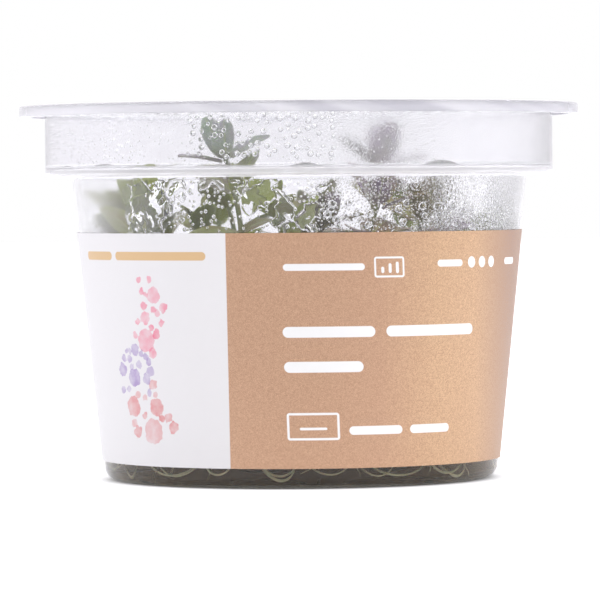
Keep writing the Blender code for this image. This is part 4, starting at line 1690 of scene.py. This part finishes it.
@dataclass
class Condensation(Part):
    """Drops on the inner faces of the cup and the lid."""

    cup: CupForm
    water: Material
    ledge_water: Material
    film: WindowFilm
    lift: float = 0.012 * MM

    def frames(self, rest: Rest, bearing: Array, place_mm: Array) -> tuple[Array, Array, Array, Array]:
        """Where drops sit and how they are turned.

        Args:
            rest: the face.
            bearing: bearings in radians.
            place_mm: heights on a wall, or distances from the axis on the ledge or lid, in mm.

        Returns:
            The seats, the way up the face, the way along it and the way off it, one row a drop.
        """
        outward = on_cup(bearing, 1.0, 0.0)
        along = np.stack((np.cos(bearing), np.sin(bearing), np.zeros_like(bearing)), axis=-1)
        upright = np.zeros_like(outward) + (0.0, 0.0, 1.0)
        height, radius = place_mm * MM, place_mm * MM
        match rest:
            case Rest.BODY:
                radius, up = self.cup.body_radius(height, self.cup.wall), upright + self.cup.draft * outward
            case Rest.COLLAR:
                radius, up = self.cup.inner_collar, upright
            case Rest.LEDGE:
                height, up = self.cup.ledge_top, outward
            case Rest.LID:
                height, up = self.cup.panel_underside, -outward
        up = unit(up)
        return on_cup(bearing, radius, height), up, along, np.cross(up, along)

    def scatter(self, dew: Dew, rng: Random) -> tuple[Array, Array, Array]:
        """Scatter drops that don't overlap, the largest first.

        Args:
            dew: the field of drops.
            rng: where its random numbers come from.

        Returns:
            Their bearings, places and radii.
        """
        tries = 4 * dew.count
        bearing = np.radians(rng.uniform(*dew.bearings, tries))
        if dew.rest is Rest.LID:
            spot = np.sqrt(rng.uniform(dew.places[0] ** 2, dew.places[1] ** 2, tries))
            flat = np.stack((spot * np.sin(bearing), spot * np.cos(bearing)), axis=-1)
        else:
            spot = rng.uniform(*dew.places, tries)
            flat = np.stack((bearing * WALL_MM, spot), axis=-1)
        low, high = dew.radii
        radius = np.sort(low * (high / low) ** (rng.uniform(0.0, 1.0, tries) ** 1.8))[::-1]
        reach = radius * (1.0 + 0.6 * dew.unevenness)
        kept: list[int] = []
        for index in range(tries):
            if len(kept) == dew.count:
                break
            gaps = np.linalg.norm(flat[kept] - flat[index], axis=1) - reach[kept] - reach[index]
            if gaps.min(initial=1.0) > -0.02:
                kept.append(index)
        return bearing[kept], spot[kept], radius[kept]

    def build(self) -> None:
        """Make every field of drops, and the film over the label."""
        for dew in DEW_FIELDS:
            water = self.ledge_water if dew.rest is Rest.LEDGE else self.water
            self.keep(self.drops(dew).build(dew.name, water), "clear_plastic")
        self.keep(self.film.surface().build("window_patches", self.water), "clear_plastic")

    def drops(self, dew: Dew) -> Surface:
        """Make each drop a cap: a base on its face, and rings that close in over a round profile.

        At polar angle s from the contact angle down to 0, a ring's radius goes with sin s and its
        height with cos s less the contact angle's. An uneven drop's outline swells and draws in
        by low waves round it.

        Args:
            dew: the field of drops.

        Returns:
            The drops of the field.
        """
        rng = np.random.default_rng(DEW_SEED + dew.seed)
        if dew.count:
            bearing, spot, radius = self.scatter(dew, rng)
        else:
            bearing, spot, radius = np.array(PUDDLES).T
            bearing = np.radians(bearing)
        if dew.rest is Rest.BODY:
            dry = self.film.depth(bearing * WALL_MM, spot) == 0.0
            bearing, spot, radius = bearing[dry], spot[dry], radius[dry]
        seat, up, along, off = self.frames(dew.rest, bearing, spot)
        contact = math.radians(dew.contact)
        polar = np.linspace(contact, 0.0, dew.rows + 1)[:-1]
        angle = whole_turn(dew.columns)
        outline = np.ones((len(radius), dew.columns))
        for wave in (2, 3, 4, 5):
            swell = dew.unevenness * rng.normal(0.0, 0.5, len(radius)) / (wave - 1) ** 0.5
            shift = rng.uniform(0.0, math.tau, len(radius))
            outline += swell[:, None] * np.cos(wave * angle[None, :] + shift[:, None])
        outline = np.clip(outline, 0.45, 1.7)
        size = radius[:, None, None] * MM
        reach = size * (np.sin(polar) / math.sin(contact))[None, :, None] * outline[:, None, :]
        profile = (np.cos(polar) - math.cos(contact)) / math.sin(contact)
        rise = size * profile[None, :, None] * np.ones_like(reach)
        centre = seat + off * self.lift
        rings = centre[:, None, None]
        sizes = (reach * np.cos(angle) * dew.stretch, reach * np.sin(angle) / dew.stretch, rise)
        for amount, way in zip(sizes, (up, along, off)):
            rings = rings + amount[..., None] * way[:, None, None]
        if dew.rest in (Rest.BODY, Rest.COLLAR):
            rings = self.wrap(dew.rest, rings, rise)
        top = (1.0 - math.cos(contact)) / math.sin(contact)
        surface = Surface()
        surface.add_tubes(rings, centre, centre + off * (radius * MM * top)[:, None])
        return surface

    def wrap(self, rest: Rest, rings: Array, rise: Array) -> Array:
        """Bend the rings of drops on a round wall so that each base follows the wall.

        Args:
            rest: the wall, of the body or the collar.
            rings: the drops' rings, still on a flat base.
            rise: how far each point lies off the base.

        Returns:
            The bent rings.
        """
        height = rings[..., 2]
        wall = self.cup.body_radius(height, self.cup.wall) if rest is Rest.BODY else self.cup.inner_collar
        return on_cup(np.arctan2(rings[..., 0], -rings[..., 1]), wall - self.lift - rise, height)


@dataclass(frozen=True)
class Lamp:
    """A soft rectangular lamp: where it stands, its width and height in metres, and its watts."""

    name: str
    spot: tuple[float, float, float]
    size: tuple[float, float]
    power: float

    def build(self) -> None:
        """Make the lamp, aimed at the cup. No reflection or window shows it."""
        light = bpy.data.lights.new(self.name, "AREA")
        light.shape = "RECTANGLE"
        light.size, light.size_y = self.size
        light.energy = self.power
        lamp = bpy.data.objects.new(self.name, light)
        lamp.location = self.spot
        aim = Vector((0.0, 0.0, 0.03)) - Vector(self.spot)
        lamp.rotation_euler = aim.to_track_quat("-Z", "Y").to_euler()
        lamp.visible_glossy = lamp.visible_transmission = False
        bpy.context.scene.collection.objects.link(lamp)


LAMPS = (
    Lamp("overhead", (0.0, 0.1, 1.1), (0.9, 0.9), 1.6),
    Lamp("front_left_lamp", (-0.8, -1.1, 0.6), (0.6, 0.8), 4.8),
    Lamp("right_lamp", (0.95, -0.75, 0.40), (0.6, 0.8), 4.7),
    Lamp("back_lamp", (0.1, 1.3, 0.5), (1.6, 0.9), 1.5),
)


@dataclass
class Stage:
    """Floor, world, lamps and camera."""

    distance: float = 0.860
    camera_height: float = 0.0522
    pitch: float = 1.331
    roll: float = -0.45
    lens: float = 284.0
    studio_tone: Colour = (0.945, 0.93, 0.98)
    ahead: float = 1.0
    aside: float = 0.98
    behind: float = 0.27
    above: float = 0.25
    floor_radius: float = 4.0
    floor_thickness: float = 12.0 * MM
    floor_drop: float = 0.05 * MM

    def build(self) -> None:
        """Make them all."""
        self.add_floor()
        self.add_world()
        for lamp in LAMPS:
            lamp.build()
        self.add_camera()

    def add_floor(self) -> None:
        """A wide pale floor. It glows a little round the cup, and is dim to reflections in front of it."""
        graph = Graph("pale_floor")
        point = graph.point()
        x, y, _ = graph.parts(point)
        shader = graph.principled(
            Base_Color=graph.mix(graph.noise(point, 3.0, 2.0), (0.86, 0.86, 0.87), (0.88, 0.88, 0.89)),
            Roughness=0.9,
            Emission_Color=WHITE,
            Emission_Strength=graph.span(graph.off_axis(x, y), 33.0 * MM, 37.0 * MM, 0.0, 0.50),
        )
        dim = graph.principled(Base_Color=(0.25, 0.25, 0.255), Roughness=0.9)
        reflected = graph.ray("Glossy") * (1.0 - graph.ray("Transmission"))
        share = reflected * graph.fall(y, -95.0 * MM, -45.0 * MM)
        material = graph.finish(graph.mix_shaders(share, shader, dim))
        low, high = -self.floor_thickness - self.floor_drop, -self.floor_drop
        section = np.array([(0.0, low), (self.floor_radius, low), (self.floor_radius, high), (0.0, high)])
        turned_surface(section, 64).build("studio_floor", material)

    def add_world(self) -> None:
        """White to the camera. For all else bright ahead and above, dimmer aside and behind the camera."""
        graph = Graph("studio_world", world=True)
        x, y, z = graph.parts(graph.node("TexCoord", output="Generated"))
        aside = graph.span(abs(x), 0.35, 0.95, 1.0, self.aside)
        behind = graph.span(y, -0.75, 0.05, self.behind, 1.0)
        level = aside * behind * self.ahead + graph.span(z, 0.25, 0.85, 0.0, self.above)
        studio = graph.node("Background", {"Color": self.studio_tone, "Strength": level})
        backdrop = graph.node("Background", {"Color": WHITE})
        graph.node("OutputWorld", {0: graph.mix_shaders(graph.ray("Camera"), studio, backdrop)})
        bpy.context.scene.world = graph.owner

    def add_camera(self) -> None:
        """The photograph's view: long lens, a little over mid height, pitched and rolled slightly."""
        scene = bpy.context.scene
        lens = bpy.data.cameras.new("photo_camera")
        lens.sensor_width = 36.0
        lens.lens = self.lens
        lens.clip_start, lens.clip_end = 0.01, 20.0
        camera = bpy.data.objects.new("photo_camera", lens)
        camera.rotation_mode = "QUATERNION"
        pitch = Matrix.Rotation(math.radians(90.0 - self.pitch), 4, "X")
        roll = Matrix.Rotation(math.radians(self.roll), 4, "Z")
        camera.matrix_world = Matrix.Translation((0.0, -self.distance, self.camera_height)) @ pitch @ roll
        scene.collection.objects.link(camera)
        scene.camera = camera
        scene.view_settings.view_transform = "Standard"
        scene.cycles.max_bounces = scene.cycles.transmission_bounces = 24
        scene.cycles.transparent_max_bounces = 32


def main() -> None:
    """Build, dress and stage the whole cup."""
    logging.basicConfig(level=logging.INFO, format="%(name)s: %(message)s")
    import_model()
    cup, gel = CupForm(), GelForm()
    thicket = Thicket(cup, gel, PlantForm())
    clear = ClearPlastic("clear_cup_plastic").material()
    cloudy = ClearPlastic("cloudy_ledge_plastic", (0.965, 0.96, 0.98), 0.60, 0.10).material()
    lid_panel = ClearPlastic("lid_panel_plastic", (0.95, 0.945, 0.965), 0.93, 0.10).material()
    frosted = ClearPlastic("frosted_foot_plastic", (0.80, 0.79, 0.76), 0.90, 0.35).material()
    # The last colour is the tone of the painted reflections on the lid's rim.
    lid_rim = ClearPlastic("cloudy_lid_plastic", (0.89, 0.885, 0.91), 0.62, 0.14, (0.72, 0.715, 0.755))
    # The ledge's puddles are given grey water: painted shade for the dark lens that they show.
    ledge_water = Water("ledge_water", (0.55, 0.56, 0.53)).material()
    leaf = PlantSkin("leaf_skin").material()
    stem = PlantSkin("stem_skin", green=(0.23, 0.27, 0.10), pale=(0.34, 0.38, 0.18), veins=1).material()
    parts = [
        Cup(cup, clear, FoggedPlastic().material(), WettedPlastic().material(), cloudy, frosted, gel.top),
        Lid(cup, lid_rim.material(), lid_panel),
        Label(cup, PrintedFilm().material(), FilmBack().material()),
        Gel(cup, gel, SetGel().material()),
        Plants(thicket, leaf, stem),
        Roots(cup, gel, thicket.stems, RootSkin().material()),
        Condensation(cup, Water().material(), ledge_water, WindowFilm(cup)),
    ]
    for part in parts:
        part.build()
        part.dress()
    Stage().build()


if __name__ == "__main__":
    main()
